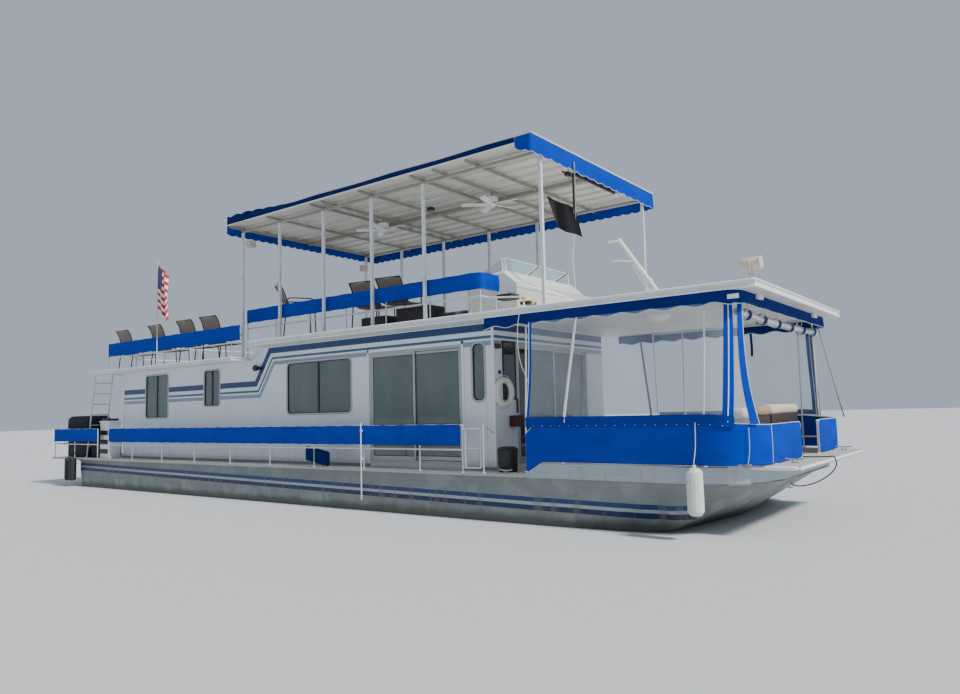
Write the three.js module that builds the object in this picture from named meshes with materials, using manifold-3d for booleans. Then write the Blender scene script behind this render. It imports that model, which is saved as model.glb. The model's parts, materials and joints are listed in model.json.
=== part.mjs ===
// A cruising houseboat about 20 m long: an aluminium hull with a raised bow deck, a panelled cabin
// under two roof levels, a fabric-sided front porch, a roofed upper deck and a flybridge helm.
// Millimetres. X runs to the bow, Y to port, Z up. The waterline is Z = 0, amidships is X = 0.

import * as THREE from "three";
import { mergeVertices } from "three/addons/utils/BufferGeometryUtils.js";
import Module from "manifold-3d";

const wasm = await Module();
wasm.setup();

// Driving sizes of the whole boat
const GAP = 0.3;
const DECK_HALF = 2440;
const DECK_TOP = 740;
const HULL_HALF = 2420;
const STERN_X = -9890;
const TRANSOM_X = -8240;
const RAISED_X = 5950;
const RAMP_X = 6260;
const BOW_DECK_TOP = 930;
const PLATFORM = { aft: 9110, fore: 9820, half: 1990, lip: 60 };

// Driving sizes of the cabin and its roofs
const CABIN = { aft: -7090, fore: 5060, half: 1880, wall: 60 };
const ROOF_HALF = 2360;
const AFT_ROOF = { aft: -7970, fore: -1600, under: 2940, top: 3020 };
const MAIN_ROOF = { aft: -1020, fore: 9510, under: 3200, top: 3310 };
const SIDE_DOOR = { aft: 2110, fore: 4360, sill: 820, head: 2870 };
const FRONT_DOOR = { half: 1250, sill: 800, head: 2880 };
const AFT_DOOR = { half: 400, sill: 800, head: 2750 };
const DOOR_FRAME = 45;
const RUNNER = 6;

// Driving sizes of the rails, the canopy and the porch
const PIPE = 16;
const PIPE_FLAT = PIPE * Math.cos(Math.PI / 6);
const STAND = 13;
const UPRIGHT = 12;
const RAIL_Y = 2415;
const RAIL_TOP = 1500;
const COVER = 12;
const COVER_LOW = 1170;
const PORCH_COVER_LOW = 945;
const COVER_OFF = PIPE_FLAT + GAP + COVER / 2;
const PORCH = { aft: 6010, fore: 9430, head: 9320, radius: 600, drop: 60, mid: 1120 };
const PORCH_GATE = { starboard: -400, port: 640 };
const VALANCE_DROP = 165;
const CANOPY = { aft: -1890, fore: 6160, half: 2270, under: 5950, top: 6090, skirt: 5730 };
const CANOPY_POST_Y = 1900;

// Solids from three.js geometries, ready to be joined or cut

function toSolid(geometry) {
  const bare = geometry.clone();
  bare.deleteAttribute("normal");
  bare.deleteAttribute("uv");
  const merged = mergeVertices(bare, 0.01);
  return new wasm.Manifold(new wasm.Mesh({
    numProp: 3,
    vertProperties: new Float32Array(merged.attributes.position.array),
    triVerts: new Uint32Array(merged.index.array),
  }));
}

function box(x, y, z) {
  const shape = new THREE.BoxGeometry(x[1] - x[0], y[1] - y[0], z[1] - z[0]);
  shape.translate((x[0] + x[1]) / 2, (y[0] + y[1]) / 2, (z[0] + z[1]) / 2);
  return toSolid(shape);
}

function between(shape, from, to) {
  const start = new THREE.Vector3(...from);
  const end = new THREE.Vector3(...to);
  const along = end.clone().sub(start).normalize();
  shape.applyQuaternion(new THREE.Quaternion().setFromUnitVectors(new THREE.Vector3(0, 1, 0), along));
  shape.translate(...start.add(end).multiplyScalar(0.5).toArray());
  return toSolid(shape);
}

function length(from, to) {
  return new THREE.Vector3(...from).distanceTo(new THREE.Vector3(...to));
}

function rod(from, to, radius = STAND, sides = 6) {
  return between(new THREE.CylinderGeometry(radius, radius, length(from, to), sides), from, to);
}

// A run of pipe through a list of points, mitred where it bends: a six-sided ring at each point

const RING_SIDES = 6;

function pipe(points, radius = PIPE) {
  const spots = points.map((point) => new THREE.Vector3(...point));
  const rings = spots.map((spot, i) => {
    const into = i > 0 ? spot.clone().sub(spots[i - 1]).normalize() : null;
    const onward = i + 1 < spots.length ? spots[i + 1].clone().sub(spot).normalize() : null;
    const along = (into ?? onward).clone().add(onward ?? into).normalize();
    const side = new THREE.Vector3().crossVectors(along, new THREE.Vector3(0, 0, 1)).normalize();
    const up = new THREE.Vector3().crossVectors(side, along);
    const widen = 1 / Math.cos(into && onward ? into.angleTo(onward) / 2 : 0);
    return Array.from({ length: RING_SIDES }, (_, k) => {
      const angle = ((k + 0.5) * 2 * Math.PI) / RING_SIDES;
      return spot.clone().addScaledVector(side, radius * widen * Math.cos(angle))
        .addScaledVector(up, radius * Math.sin(angle)).toArray();
    });
  });
  return loft(rings);
}

function join(solids) {
  return solids.reduce((whole, solid) => whole.add(solid));
}

function cut(solid, tools) {
  return tools.reduce((left, tool) => left.subtract(tool), solid);
}

const PLAIN = { bevelEnabled: false, curveSegments: 2 };

// An outline pushed along Y: its points are [x, z]

function alongY(outline, y) {
  const shape = outline instanceof THREE.Shape ? outline : shapeOf(outline);
  const solid = new THREE.ExtrudeGeometry(shape, { ...PLAIN, depth: y[1] - y[0] });
  solid.rotateX(Math.PI / 2);
  solid.translate(0, y[1], 0);
  return toSolid(solid);
}

// An outline pushed up along Z: its points are [x, y]

function alongZ(outline, z) {
  const shape = outline instanceof THREE.Shape ? outline : shapeOf(outline);
  const solid = new THREE.ExtrudeGeometry(shape, { ...PLAIN, depth: z[1] - z[0] });
  solid.translate(0, 0, z[0]);
  return toSolid(solid);
}

// An outline pushed along X: its points are [y, z]

function alongX(outline, x) {
  const solid = new THREE.ExtrudeGeometry(shapeOf(outline), { ...PLAIN, depth: x[1] - x[0] });
  solid.applyMatrix4(new THREE.Matrix4().makeBasis(
    new THREE.Vector3(0, 1, 0), new THREE.Vector3(0, 0, 1), new THREE.Vector3(1, 0, 0)));
  solid.translate(x[0], 0, 0);
  return toSolid(solid);
}

function shapeOf(points) {
  return new THREE.Shape(points.map(([a, b]) => new THREE.Vector2(a, b)));
}

function roundedRectangle(a, b, radius) {
  const [left, right] = a;
  const [low, high] = b;
  const shape = new THREE.Shape();
  shape.moveTo(left + radius, low);
  shape.lineTo(right - radius, low);
  shape.absarc(right - radius, low + radius, radius, -Math.PI / 2, 0);
  shape.lineTo(right, high - radius);
  shape.absarc(right - radius, high - radius, radius, 0, Math.PI / 2);
  shape.lineTo(left + radius, high);
  shape.absarc(left + radius, high - radius, radius, Math.PI / 2, Math.PI);
  shape.lineTo(left, low + radius);
  shape.absarc(left + radius, low + radius, radius, Math.PI, Math.PI * 1.5);
  return shape;
}

// A closed skin over a row of rings, each ring a loop of the same number of points [x, y, z]

function loft(rings) {
  const count = rings[0].length;
  const triangles = [];
  for (let r = 0; r + 1 < rings.length; r += 1) {
    for (let i = 0; i < count; i += 1) {
      const j = (i + 1) % count;
      const [a, b, c, d] = [r * count + i, r * count + j, (r + 1) * count + j, (r + 1) * count + i];
      triangles.push([a, b, c], [a, c, d]);
    }
  }
  const last = (rings.length - 1) * count;
  for (let i = 1; i + 1 < count; i += 1) {
    triangles.push([0, i + 1, i], [last, last + i, last + i + 1]);
  }
  return closedBody(rings.flat(), triangles);
}

function closedBody(points, triangles) {
  const volume = triangles.reduce((sum, [a, b, c]) => {
    const [p, q, r] = [a, b, c].map((i) => new THREE.Vector3(...points[i]));
    return sum + p.dot(q.cross(r));
  }, 0);
  const order = volume > 0 ? triangles : triangles.map(([a, b, c]) => [a, c, b]);
  const geometry = new THREE.BufferGeometry();
  geometry.setAttribute("position", new THREE.Float32BufferAttribute(points.flat(), 3));
  geometry.setIndex(order.flat());
  return toSolid(geometry);
}

// A thin standing sheet between a low and a high line of points [x, y, z], mitred at its corners

function sheet(low, high, thickness) {
  const heading = low.slice(1).map(([x, y], i) => {
    const [fromX, fromY] = low[i];
    return new THREE.Vector2(x - fromX, y - fromY).normalize();
  });
  const rings = low.map((point, i) => {
    const into = heading[Math.max(i - 1, 0)];
    const onward = heading[Math.min(i, heading.length - 1)];
    const along = into.clone().add(onward).normalize();
    const half = thickness / 2 / along.dot(into);
    const [nx, ny] = [along.y * half, -along.x * half];
    const top = high[i];
    return [
      [point[0] + nx, point[1] + ny, point[2]],
      [top[0] + nx, top[1] + ny, top[2]],
      [top[0] - nx, top[1] - ny, top[2]],
      [point[0] - nx, point[1] - ny, point[2]],
    ];
  });
  return loft(rings);
}

const raise = (line, z) => line.map(([x, y]) => [x, y, z]);
const mirror = (line) => line.map(([x, y, ...rest]) => [x, -y, ...rest]);

// Finishes, one per kind of surface

const FINISHES = {
  hull: [0x9aa3a6, 0.45, 0.7],
  deck: [0xb9b6ab, 0.8, 0.0],
  panel: [0xdfe6ee, 0.4, 0.0],
  roof: [0xe8e8e4, 0.5, 0.0],
  pipe: [0xd6dbe0, 0.35, 0.3],
  fabric: [0x0c3a9c, 0.85, 0.0],
  glass: [0x3a4a50, 0.08, 0.0],
  vinyl: [0xb8c8d0, 0.15, 0.0],
  gelcoat: [0xf2f2ee, 0.3, 0.0],
  metal: [0x8c8f92, 0.4, 0.8],
  black: [0x1c1d20, 0.6, 0.1],
  stripedCloth: [0xc24050, 0.8, 0.0],
  foam: [0xf4f4f2, 0.6, 0.0],
};

const boat = new THREE.Group();

function piece(name, solid, finish) {
  const mesh = solid.getMesh();
  const geometry = new THREE.BufferGeometry();
  geometry.setAttribute("position", new THREE.BufferAttribute(new Float32Array(mesh.vertProperties), 3));
  geometry.setIndex(new THREE.BufferAttribute(new Uint32Array(mesh.triVerts), 1));
  const [color, roughness, metalness] = FINISHES[finish];
  const part = new THREE.Mesh(geometry, new THREE.MeshStandardMaterial({ color, roughness, metalness }));
  part.name = name;
  boat.add(part);
}

const SIDES = [
  { name: "starboard", sign: -1 },
  { name: "port", sign: 1 },
];

const span = (sign, near, far) => (sign > 0 ? [near, far] : [-far, -near]);

// Hull: plumb aluminium sides, a shallow V bottom and a blunt raked bow

const HULL_TOP = 700;
const HULL_SECTIONS = [
  { x: TRANSOM_X, half: HULL_HALF, knuckle: 490, chine: 2360, chineZ: -150, keelZ: -420 },
  { x: RAISED_X, half: HULL_HALF, knuckle: 490, chine: 2360, chineZ: -150, keelZ: -420 },
  { x: RAMP_X, half: HULL_HALF, knuckle: 680, chine: 2355, chineZ: -140, keelZ: -420 },
  { x: 7400, half: HULL_HALF, knuckle: 680, chine: 2290, chineZ: -90, keelZ: -390 },
  { x: 7800, half: 2418, knuckle: 680, chine: 2240, chineZ: -30, keelZ: -320 },
  { x: 8200, half: 2415, knuckle: 680, chine: 2150, chineZ: 60, keelZ: -120 },
  { x: 8700, half: 2370, knuckle: 680, chine: 1900, chineZ: 320, keelZ: 210 },
  { x: 9000, half: 2240, knuckle: 680, chine: 1600, chineZ: 490, keelZ: 420 },
  { x: 9200, half: 2020, knuckle: 680, chine: 1250, chineZ: 598, keelZ: 560 },
  { x: 9340, half: 1700, knuckle: 680, chine: 900, chineZ: 655, keelZ: 638 },
  { x: 9420, half: 1300, knuckle: 680, chine: 520, chineZ: 674, keelZ: 668 },
];
const hullBody = loft(HULL_SECTIONS.map(({ x, half, knuckle, chine, chineZ, keelZ }) => [
  [x, -half, HULL_TOP], [x, -half, knuckle], [x, -chine, chineZ], [x, 0, keelZ],
  [x, chine, chineZ], [x, half, knuckle], [x, half, HULL_TOP],
]));

const ENGINE_BAY = { x: [-7950, -5900], half: 1500, floor: -150 };
const DRIVE = { y: 750, pivot: -8430, ears: [[-120, -80], [270, 310]], earHalf: 130 };

function driveBracket(y) {
  const ears = DRIVE.ears.map((z) => box([DRIVE.pivot - 60, TRANSOM_X + 20],
    [y - DRIVE.earHalf, y + DRIVE.earHalf], z));
  const plate = box([TRANSOM_X - 60, TRANSOM_X + 20], [y - 200, y + 200], [-140, 330]);
  return join([plate, ...ears]);
}

const engineBay = box(ENGINE_BAY.x, [-ENGINE_BAY.half, ENGINE_BAY.half], [ENGINE_BAY.floor, 900]);
const hull = join([hullBody, ...SIDES.map(({ sign }) => driveBracket(sign * DRIVE.y))]);
piece("hull", cut(hull, [engineBay]), "hull");

// Engines: two plain blocks on one pair of bearers

const ENGINE = { x: [-7650, -6600], half: 340, height: 620, bearer: 60, reach: 1300 };
const engineFloor = ENGINE_BAY.floor + GAP;
const engineBlocks = SIDES.map(({ sign }) => {
  const y = sign * DRIVE.y;
  return box(ENGINE.x, [y - ENGINE.half, y + ENGINE.half], [engineFloor + 40, engineFloor + ENGINE.height]);
});
const bearers = ENGINE.x.map((x) => box([x, x + ENGINE.bearer], [-ENGINE.reach, ENGINE.reach],
  [engineFloor, engineFloor + ENGINE.bearer]));
piece("engines", join([...engineBlocks, ...bearers]), "metal");

// Decks: one flat plate from the stern to the foot of the ramp, one raised deck with its topside
// and the bow platform

const deckPlate = box([STERN_X, RAISED_X - GAP], [-DECK_HALF, DECK_HALF],
  [HULL_TOP + GAP, DECK_TOP]);
const BRACKETS = { y: [-1750, 0, 1750], half: 30 };
const platformBrackets = BRACKETS.y.map((y) => alongY(
  [[STERN_X + 100, DECK_TOP - 30], [TRANSOM_X - GAP, DECK_TOP - 30], [TRANSOM_X - GAP, 250],
    [STERN_X + 100, DECK_TOP - 120]], [y - BRACKETS.half, y + BRACKETS.half]));
piece("main_deck", join([deckPlate, ...platformBrackets]), "deck");

const BOW = { edge: 15, plate: 800, skin: 5, end: 9900 };
const bowSections = HULL_SECTIONS.filter(({ x }) => x >= RAISED_X);
const bowPlan = (margin) => {
  const edge = bowSections.map(({ x, half }) => [x, half + margin]);
  return [...mirror(edge), ...edge.reverse()];
};
const underRamp = (low, drop) => alongY([
  [RAISED_X, HULL_TOP + GAP], [RAISED_X, DECK_TOP - drop], [RAMP_X, BOW_DECK_TOP - drop],
  [BOW.end, BOW_DECK_TOP - drop], [BOW.end, low], [RAMP_X, low],
], [-DECK_HALF, DECK_HALF]);
const bowHeights = [HULL_TOP, BOW_DECK_TOP + BOW.edge];
const topside = alongZ(bowPlan(0), bowHeights).intersect(underRamp(HULL_TOP + GAP, BOW.skin));
const bowPlate = alongZ(bowPlan(BOW.edge), bowHeights).intersect(underRamp(BOW.plate, 0));
const platform = box([PLATFORM.aft, PLATFORM.fore], [-PLATFORM.half, PLATFORM.half],
  [BOW_DECK_TOP - PLATFORM.lip, BOW_DECK_TOP]);
piece("bow_deck", join([topside, bowPlate, platform]), "deck");

// Cabin walls: four panels with their windows and doorways cut

const WINDOWS = {
  aft: { x: [-5980, -4920], z: [1742, 2830], radius: 90 },
  small: { x: [-3380, -2740], z: [1980, 2830], radius: 90 },
  long: { x: [-340, 1620], z: [1744, 2830], radius: 110 },
  slim: { x: [4580, 4864], z: [1880, 2880], radius: 110 },
};
const STEP_AFT = -1580;
const wallTop = MAIN_ROOF.under - GAP;
const wallOutline = [
  [CABIN.aft, DECK_TOP + GAP], [CABIN.fore, DECK_TOP + GAP], [CABIN.fore, wallTop], [MAIN_ROOF.aft, wallTop],
  [STEP_AFT, AFT_ROOF.under - GAP], [CABIN.aft, AFT_ROOF.under - GAP],
];
const sideDoorway = [[SIDE_DOOR.aft, SIDE_DOOR.sill], [SIDE_DOOR.fore, SIDE_DOOR.sill],
  [SIDE_DOOR.fore, SIDE_DOOR.head], [SIDE_DOOR.aft, SIDE_DOOR.head]];

for (const { name, sign } of SIDES) {
  const through = span(sign, CABIN.half - CABIN.wall - 50, CABIN.half + 50);
  const openings = Object.values(WINDOWS).map(({ x, z, radius }) => (
    alongY(roundedRectangle(x, z, radius), through)));
  const wall = alongY(wallOutline, span(sign, CABIN.half - CABIN.wall, CABIN.half));
  piece(`wall_${name}`, cut(wall, [...openings, alongY(sideDoorway, through)]), "panel");
}

const innerHalf = CABIN.half - CABIN.wall - GAP;
const frontWall = box([CABIN.fore - CABIN.wall, CABIN.fore], [-innerHalf, innerHalf],
  [DECK_TOP + GAP, wallTop]);
const frontDoorway = box([CABIN.fore - 100, CABIN.fore + 50], [-FRONT_DOOR.half, FRONT_DOOR.half],
  [FRONT_DOOR.sill, FRONT_DOOR.head]);
piece("wall_front", cut(frontWall, [frontDoorway]), "panel");

const aftWall = box([CABIN.aft, CABIN.aft + CABIN.wall], [-innerHalf, innerHalf],
  [DECK_TOP + GAP, AFT_ROOF.under - GAP]);
const aftDoorway = box([CABIN.aft - 50, CABIN.aft + 100], [-AFT_DOOR.half, AFT_DOOR.half],
  [AFT_DOOR.sill, AFT_DOOR.head]);
const HINGE = { x: CABIN.aft - 10, y: AFT_DOOR.half, radius: 8, z: [1100, 1750, 2400], length: 50 };
const wallKnuckles = HINGE.z.map((z) => join([
  rod([HINGE.x, HINGE.y, z - HINGE.length], [HINGE.x, HINGE.y, z - GAP], HINGE.radius),
  box([HINGE.x - 3, CABIN.aft + 5], [HINGE.y + 1, HINGE.y + 40], [z - HINGE.length, z - GAP]),
]));
piece("wall_aft", join([cut(aftWall, [aftDoorway]), ...wallKnuckles]), "panel");

// Aft door: one hinged leaf that swings out over the aft deck

const aftLeaf = box([CABIN.aft, CABIN.aft + 44], [-AFT_DOOR.half + RUNNER, AFT_DOOR.half - RUNNER],
  [AFT_DOOR.sill + RUNNER, AFT_DOOR.head - RUNNER]);
const leafKnuckles = HINGE.z.map((z) => join([
  rod([HINGE.x, HINGE.y, z], [HINGE.x, HINGE.y, z + HINGE.length], HINGE.radius),
  box([HINGE.x - 3, CABIN.aft + 5], [HINGE.y - 50, HINGE.y - 1], [z, z + HINGE.length]),
]));
piece("aft_door", join([aftLeaf, ...leafKnuckles]), "panel");

// Long windows: a frame, a middle bar and one pane, set in the side walls

for (const { name, sign } of SIDES) {
  const { x, z, radius } = WINDOWS.long;
  const outer = roundedRectangle([x[0] + GAP, x[1] - GAP], [z[0] + GAP, z[1] - GAP], radius);
  const inner = roundedRectangle([x[0] + 35, x[1] - 35], [z[0] + 35, z[1] - 35], radius - 30);
  const frame = cut(alongY(outer, span(sign, CABIN.half - 50, CABIN.half)),
    [alongY(inner, span(sign, CABIN.half - 90, CABIN.half + 40))]);
  const middle = (x[0] + x[1]) / 2;
  const bar = box([middle - 25, middle + 25], span(sign, CABIN.half - 45, CABIN.half - 5),
    [z[0] + 20, z[1] - 20]);
  const depth = span(sign, CABIN.half - 30, CABIN.half - 22);
  const pane = box([x[0] + 25, x[1] - 25], depth, [z[0] + 60, z[1] - 60]);
  piece(`window_${name}`, join([frame, bar, pane, alongY(inner, depth)]), "glass");
}

// Sliding doors: an outer frame with its fixed leaf, and a leaf that slides behind it.
// A door runs along its own u axis from low to high; place(u, depth, z) makes a box of it.

function slidingDoor(label, low, high, sill, head, place) {
  const middle = (low + high) / 2;
  const outside = place([low + GAP, high - GAP], [2, 58], [sill + GAP, head - GAP]);
  const hole = place([low + DOOR_FRAME, high - DOOR_FRAME], [-10, 80],
    [sill + DOOR_FRAME, head - DOOR_FRAME]);
  const stile = place([middle - 30, middle + 30], [6, 26], [sill + 20, head - 20]);
  const pane = place([low + 20, middle], [10, 20], [sill + 20, head - 20]);
  piece(`${label}_fixed`, join([cut(outside, [hole]), stile, pane]), "glass");
  const near = middle - 50;
  const far = high - DOOR_FRAME - RUNNER;
  const foot = sill + DOOR_FRAME;
  const leaf = place([near, far], [34, 50], [foot + RUNNER, head - DOOR_FRAME - RUNNER]);
  const shoes = [near + 60, far - 120].map((u) => place([u, u + 60], [36, 48], [foot + GAP, foot + 30]));
  piece(`${label}_slide`, join([leaf, ...shoes]), "glass");
}

for (const { name, sign } of SIDES) {
  slidingDoor(`side_door_${name}`, SIDE_DOOR.aft, SIDE_DOOR.fore, SIDE_DOOR.sill, SIDE_DOOR.head,
    (u, depth, z) => box(u, span(sign, CABIN.half - depth[1], CABIN.half - depth[0]), z));
}
slidingDoor("front_door", -FRONT_DOOR.half, FRONT_DOOR.half, FRONT_DOOR.sill, FRONT_DOOR.head,
  (u, depth, z) => box([CABIN.fore - depth[1], CABIN.fore - depth[0]], u, z));

// Roofs: a low roof aft, and a long main roof with the sloping step between them and the searchlight

const roofWidth = [-ROOF_HALF, ROOF_HALF];
piece("roof_aft", box([AFT_ROOF.aft, AFT_ROOF.fore], roofWidth, [AFT_ROOF.under, AFT_ROOF.top]), "roof");
const roofSlab = box([MAIN_ROOF.aft, MAIN_ROOF.fore], roofWidth, [MAIN_ROOF.under, MAIN_ROOF.top]);
const step = alongY([
  [MAIN_ROOF.aft + 50, MAIN_ROOF.top - 5], [MAIN_ROOF.aft - 60, MAIN_ROOF.top],
  [STEP_AFT + 6, AFT_ROOF.top + 20], [STEP_AFT + 6, AFT_ROOF.under + 10],
  [MAIN_ROOF.aft, MAIN_ROOF.under + 2], [MAIN_ROOF.aft + 50, MAIN_ROOF.under + 2],
], [-CABIN.half, CABIN.half]);
const SEARCHLIGHT = { x: 9270, y: -1700, radius: 80, half: 120, height: 305 };
const lightZ = MAIN_ROOF.top + SEARCHLIGHT.height;
const lightFoot = rod([SEARCHLIGHT.x, SEARCHLIGHT.y, MAIN_ROOF.top - 10],
  [SEARCHLIGHT.x, SEARCHLIGHT.y, lightZ - 60], 32);
const lightDrum = rod([SEARCHLIGHT.x - SEARCHLIGHT.half, SEARCHLIGHT.y, lightZ],
  [SEARCHLIGHT.x + SEARCHLIGHT.half, SEARCHLIGHT.y, lightZ], SEARCHLIGHT.radius, 12);
const MAST = { pivot: [7390, 0, 3358], top: [6490, 0, 4680], radius: 34, ears: [42, 62] };
const [mastX, , mastZ] = MAST.pivot;
const crossPin = (half, radius, sides) => rod([mastX, -half, mastZ], [mastX, half, mastZ], radius, sides);
const mastEars = SIDES.map(({ sign }) => cut(
  box([mastX - 35, mastX + 35], span(sign, ...MAST.ears), [MAIN_ROOF.top + 4, mastZ + 34]),
  [crossPin(90, 15.5, 12)]));
const mastPlate = box([mastX - 90, mastX + 90], [-100, 100], [MAIN_ROOF.top - 5, MAIN_ROOF.top + 8]);
piece("roof_main", join([roofSlab, step, lightFoot, lightDrum, mastPlate, ...mastEars]), "roof");

// Side rails along the walkways, with a short hinged gate at their forward end

const POSTS = { first: -5597, pitch: 1349, count: 8, end: -6690 };
const GATE = { hinge: 4770, stile: 5140, latch: 5190, collar: 22, bore: 14.3 };
const SIDE_MID = 1105;
const postRows = [POSTS.end, ...Array.from({ length: POSTS.count }, (_, k) => POSTS.first + k * POSTS.pitch),
  GATE.hinge];
const GATE_RINGS = [820, 1440];

for (const { name, sign } of SIDES) {
  const y = sign * RAIL_Y;
  const posts = postRows.map((x) => rod([x, y, DECK_TOP + GAP], [x, y, RAIL_TOP]));
  const tops = [RAIL_TOP, SIDE_MID].map((z) => rod([POSTS.end, y, z], [GATE.hinge, y, z], PIPE));
  const latch = rod([GATE.latch, y, DECK_TOP + GAP], [GATE.latch, y, RAIL_TOP]);
  const sill = box([GATE.hinge, GATE.latch], [y - 10, y + 10], [DECK_TOP + GAP, DECK_TOP + 16]);
  const collars = GATE_RINGS.map((z) => (
    rod([GATE.hinge, y, z - 30], [GATE.hinge, y, z - 20 - GAP], GATE.collar, 12)));
  piece(`rail_${name}`, join([...posts, ...tops, latch, sill, ...collars]), "pipe");

  const ring = (z) => cut(rod([GATE.hinge, y, z - 20], [GATE.hinge, y, z + 20], GATE.collar, 12),
    [rod([GATE.hinge, y, z - 30], [GATE.hinge, y, z + 30], GATE.bore, 12)]);
  const bars = [GATE_RINGS[0], SIDE_MID + 25, GATE_RINGS[1]].map((z, i) => {
    const from = i === 1 ? GATE.hinge + 60 : GATE.hinge + 20;
    return rod([from, y, z], [GATE.stile, y, z], 10);
  });
  const stiles = [GATE.hinge + 60, GATE.stile].map((x) => (
    rod([x, y, GATE_RINGS[0]], [x, y, GATE_RINGS[1]], UPRIGHT)));
  piece(`gate_${name}`, join([...GATE_RINGS.map(ring), ...bars, ...stiles]), "pipe");

  const coverY = sign * (RAIL_Y + COVER_OFF);
  const line = [[POSTS.end - 20, coverY], [GATE.hinge - 40, coverY]];
  piece(`rail_cover_${name}`, sheet(raise(line, COVER_LOW), raise(line, RAIL_TOP + PIPE), COVER), "fabric");
}

// Aft rail: three sides round the aft deck, with its fabric

const AFT_RAIL = { fore: -7340, aft: -9860, posts: [-7340, -8600, -9860] };
const aftLine = [
  [AFT_RAIL.fore, -RAIL_Y], [AFT_RAIL.aft, -RAIL_Y], [AFT_RAIL.aft, RAIL_Y], [AFT_RAIL.fore, RAIL_Y],
];
const aftPosts = [...AFT_RAIL.posts.flatMap((x) => [[x, -RAIL_Y], [x, RAIL_Y]]),
  ...[-800, 800].map((y) => [AFT_RAIL.aft, y])];
const aftFrame = join([
  pipe(raise(aftLine, RAIL_TOP)), pipe(raise(aftLine, SIDE_MID)),
  ...aftPosts.map(([x, y]) => rod([x, y, DECK_TOP + GAP], [x, y, RAIL_TOP])),
]);
piece("rail_aft", aftFrame, "pipe");
const coverHalf = RAIL_Y + COVER_OFF;
const coverStern = AFT_RAIL.aft - COVER_OFF;
const aftCoverLine = [
  [AFT_RAIL.fore, -coverHalf], [coverStern, -coverHalf], [coverStern, coverHalf], [AFT_RAIL.fore, coverHalf],
];
piece("rail_cover_aft", sheet(raise(aftCoverLine, COVER_LOW), raise(aftCoverLine, RAIL_TOP + PIPE), COVER),
  "fabric");

// Ladder from the aft deck to the low roof

const LADDER = { top: [-7996, 3010], foot: [-8420, DECK_TOP + 20], y: [-2180, -1720], rungs: 7 };
const ladderPoint = (t, y) => [LADDER.foot[0] + t * (LADDER.top[0] - LADDER.foot[0]), y,
  LADDER.foot[1] + t * (LADDER.top[1] - LADDER.foot[1])];
const stringers = LADDER.y.map((y) => join([rod(ladderPoint(0, y), ladderPoint(1, y), 18),
  box([LADDER.foot[0] - 30, LADDER.foot[0] + 30], [y - 25, y + 25], [DECK_TOP + GAP, DECK_TOP + 26])]));
const rungs = Array.from({ length: LADDER.rungs }, (_, k) => {
  const t = (k + 1) / (LADDER.rungs + 1);
  return rod(ladderPoint(t, LADDER.y[0]), ladderPoint(t, LADDER.y[1]), 14);
});
piece("ladder", join([...stringers, ...rungs]), "pipe");

// Porch: a low rail round the bow deck, eight posts up to the roof and a header pipe

function porchLine(offset, gateEnd, fore = PORCH.fore) {
  const radius = PORCH.radius + offset;
  const bend = Array.from({ length: 6 }, (_, k) => {
    const angle = (k / 5) * (Math.PI / 2);
    return [fore - PORCH.radius + radius * Math.sin(angle), RAIL_Y - PORCH.radius + radius * Math.cos(angle)];
  });
  return [[PORCH.aft, RAIL_Y + offset], ...bend, [fore + offset, gateEnd]];
}

// The porch rail drops a little round its corners, and all that follows it drops with it

const porchDrop = (x) => PORCH.drop * THREE.MathUtils.clamp((x - PORCH.fore) / PORCH.radius + 1, 0, 1);
const follow = (line, z) => line.map(([x, y]) => [x, y, z - porchDrop(x)]);

const porchSides = [
  { name: "starboard", flip: mirror, gateEnd: -PORCH_GATE.starboard },
  { name: "port", flip: (line) => line, gateEnd: PORCH_GATE.port },
];
const PORCH_POSTS = [
  { x: 6010, y: RAIL_Y, topX: 6010, topY: 2320 },
  { x: 6710, y: RAIL_Y, topX: 6710, topY: 2320 },
  { x: 8700, y: RAIL_Y, topX: 8700, topY: 2320 },
  { x: 9070, y: 2357, topX: 9090, topY: 2170 },
];
const HEADER_Z = MAIN_ROOF.under - PIPE - 0.5;
const POST_INSET = 12;
const rampSlope = (BOW_DECK_TOP - DECK_TOP) / (RAMP_X - RAISED_X);
const floorAt = (x) => (x < RAMP_X ? DECK_TOP + rampSlope * (x - RAISED_X) : BOW_DECK_TOP);
const porchParts = porchSides.flatMap(({ flip, gateEnd }) => {
  const line = porchLine(0, gateEnd);
  const rails = [pipe(flip(follow(line, RAIL_TOP))), pipe(flip(raise(line, PORCH.mid)))];
  const feet = [
    ...PORCH_POSTS.slice(0, -1).map(({ x, y }) => [x, y]), [PORCH.fore, 1700],
    [PORCH.fore, gateEnd + POST_INSET],
  ];
  const stands = flip(feet).map(([x, y]) => (
    rod([x, y, floorAt(x + PIPE) + GAP], [x, y, RAIL_TOP - porchDrop(x)])));
  const uprights = PORCH_POSTS.flatMap(({ x, y, topX, topY }) => {
    const [low, high] = flip([[x, y, RAIL_TOP + 3 - porchDrop(x)], [topX, topY, HEADER_Z]]);
    return [rod(low, high, UPRIGHT)];
  });
  return [...rails, ...stands, ...uprights];
});
const headerHalf = [[6000, 2320, HEADER_Z], [8710, 2320, HEADER_Z], [9094, 2160, HEADER_Z]];
porchParts.push(pipe([...mirror(headerHalf), ...[...headerHalf].reverse()]));
piece("porch_frame", join(porchParts), "pipe");

for (const { name, flip, gateEnd } of porchSides) {
  const line = flip(porchLine(COVER_OFF + GAP, gateEnd));
  piece(`porch_cover_${name}`, sheet(raise(line, PORCH_COVER_LOW), follow(line, RAIL_TOP + PIPE), COVER),
    "fabric");
}

// Clear side curtains from the low rail up to the valance, leaning in with the posts

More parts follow.
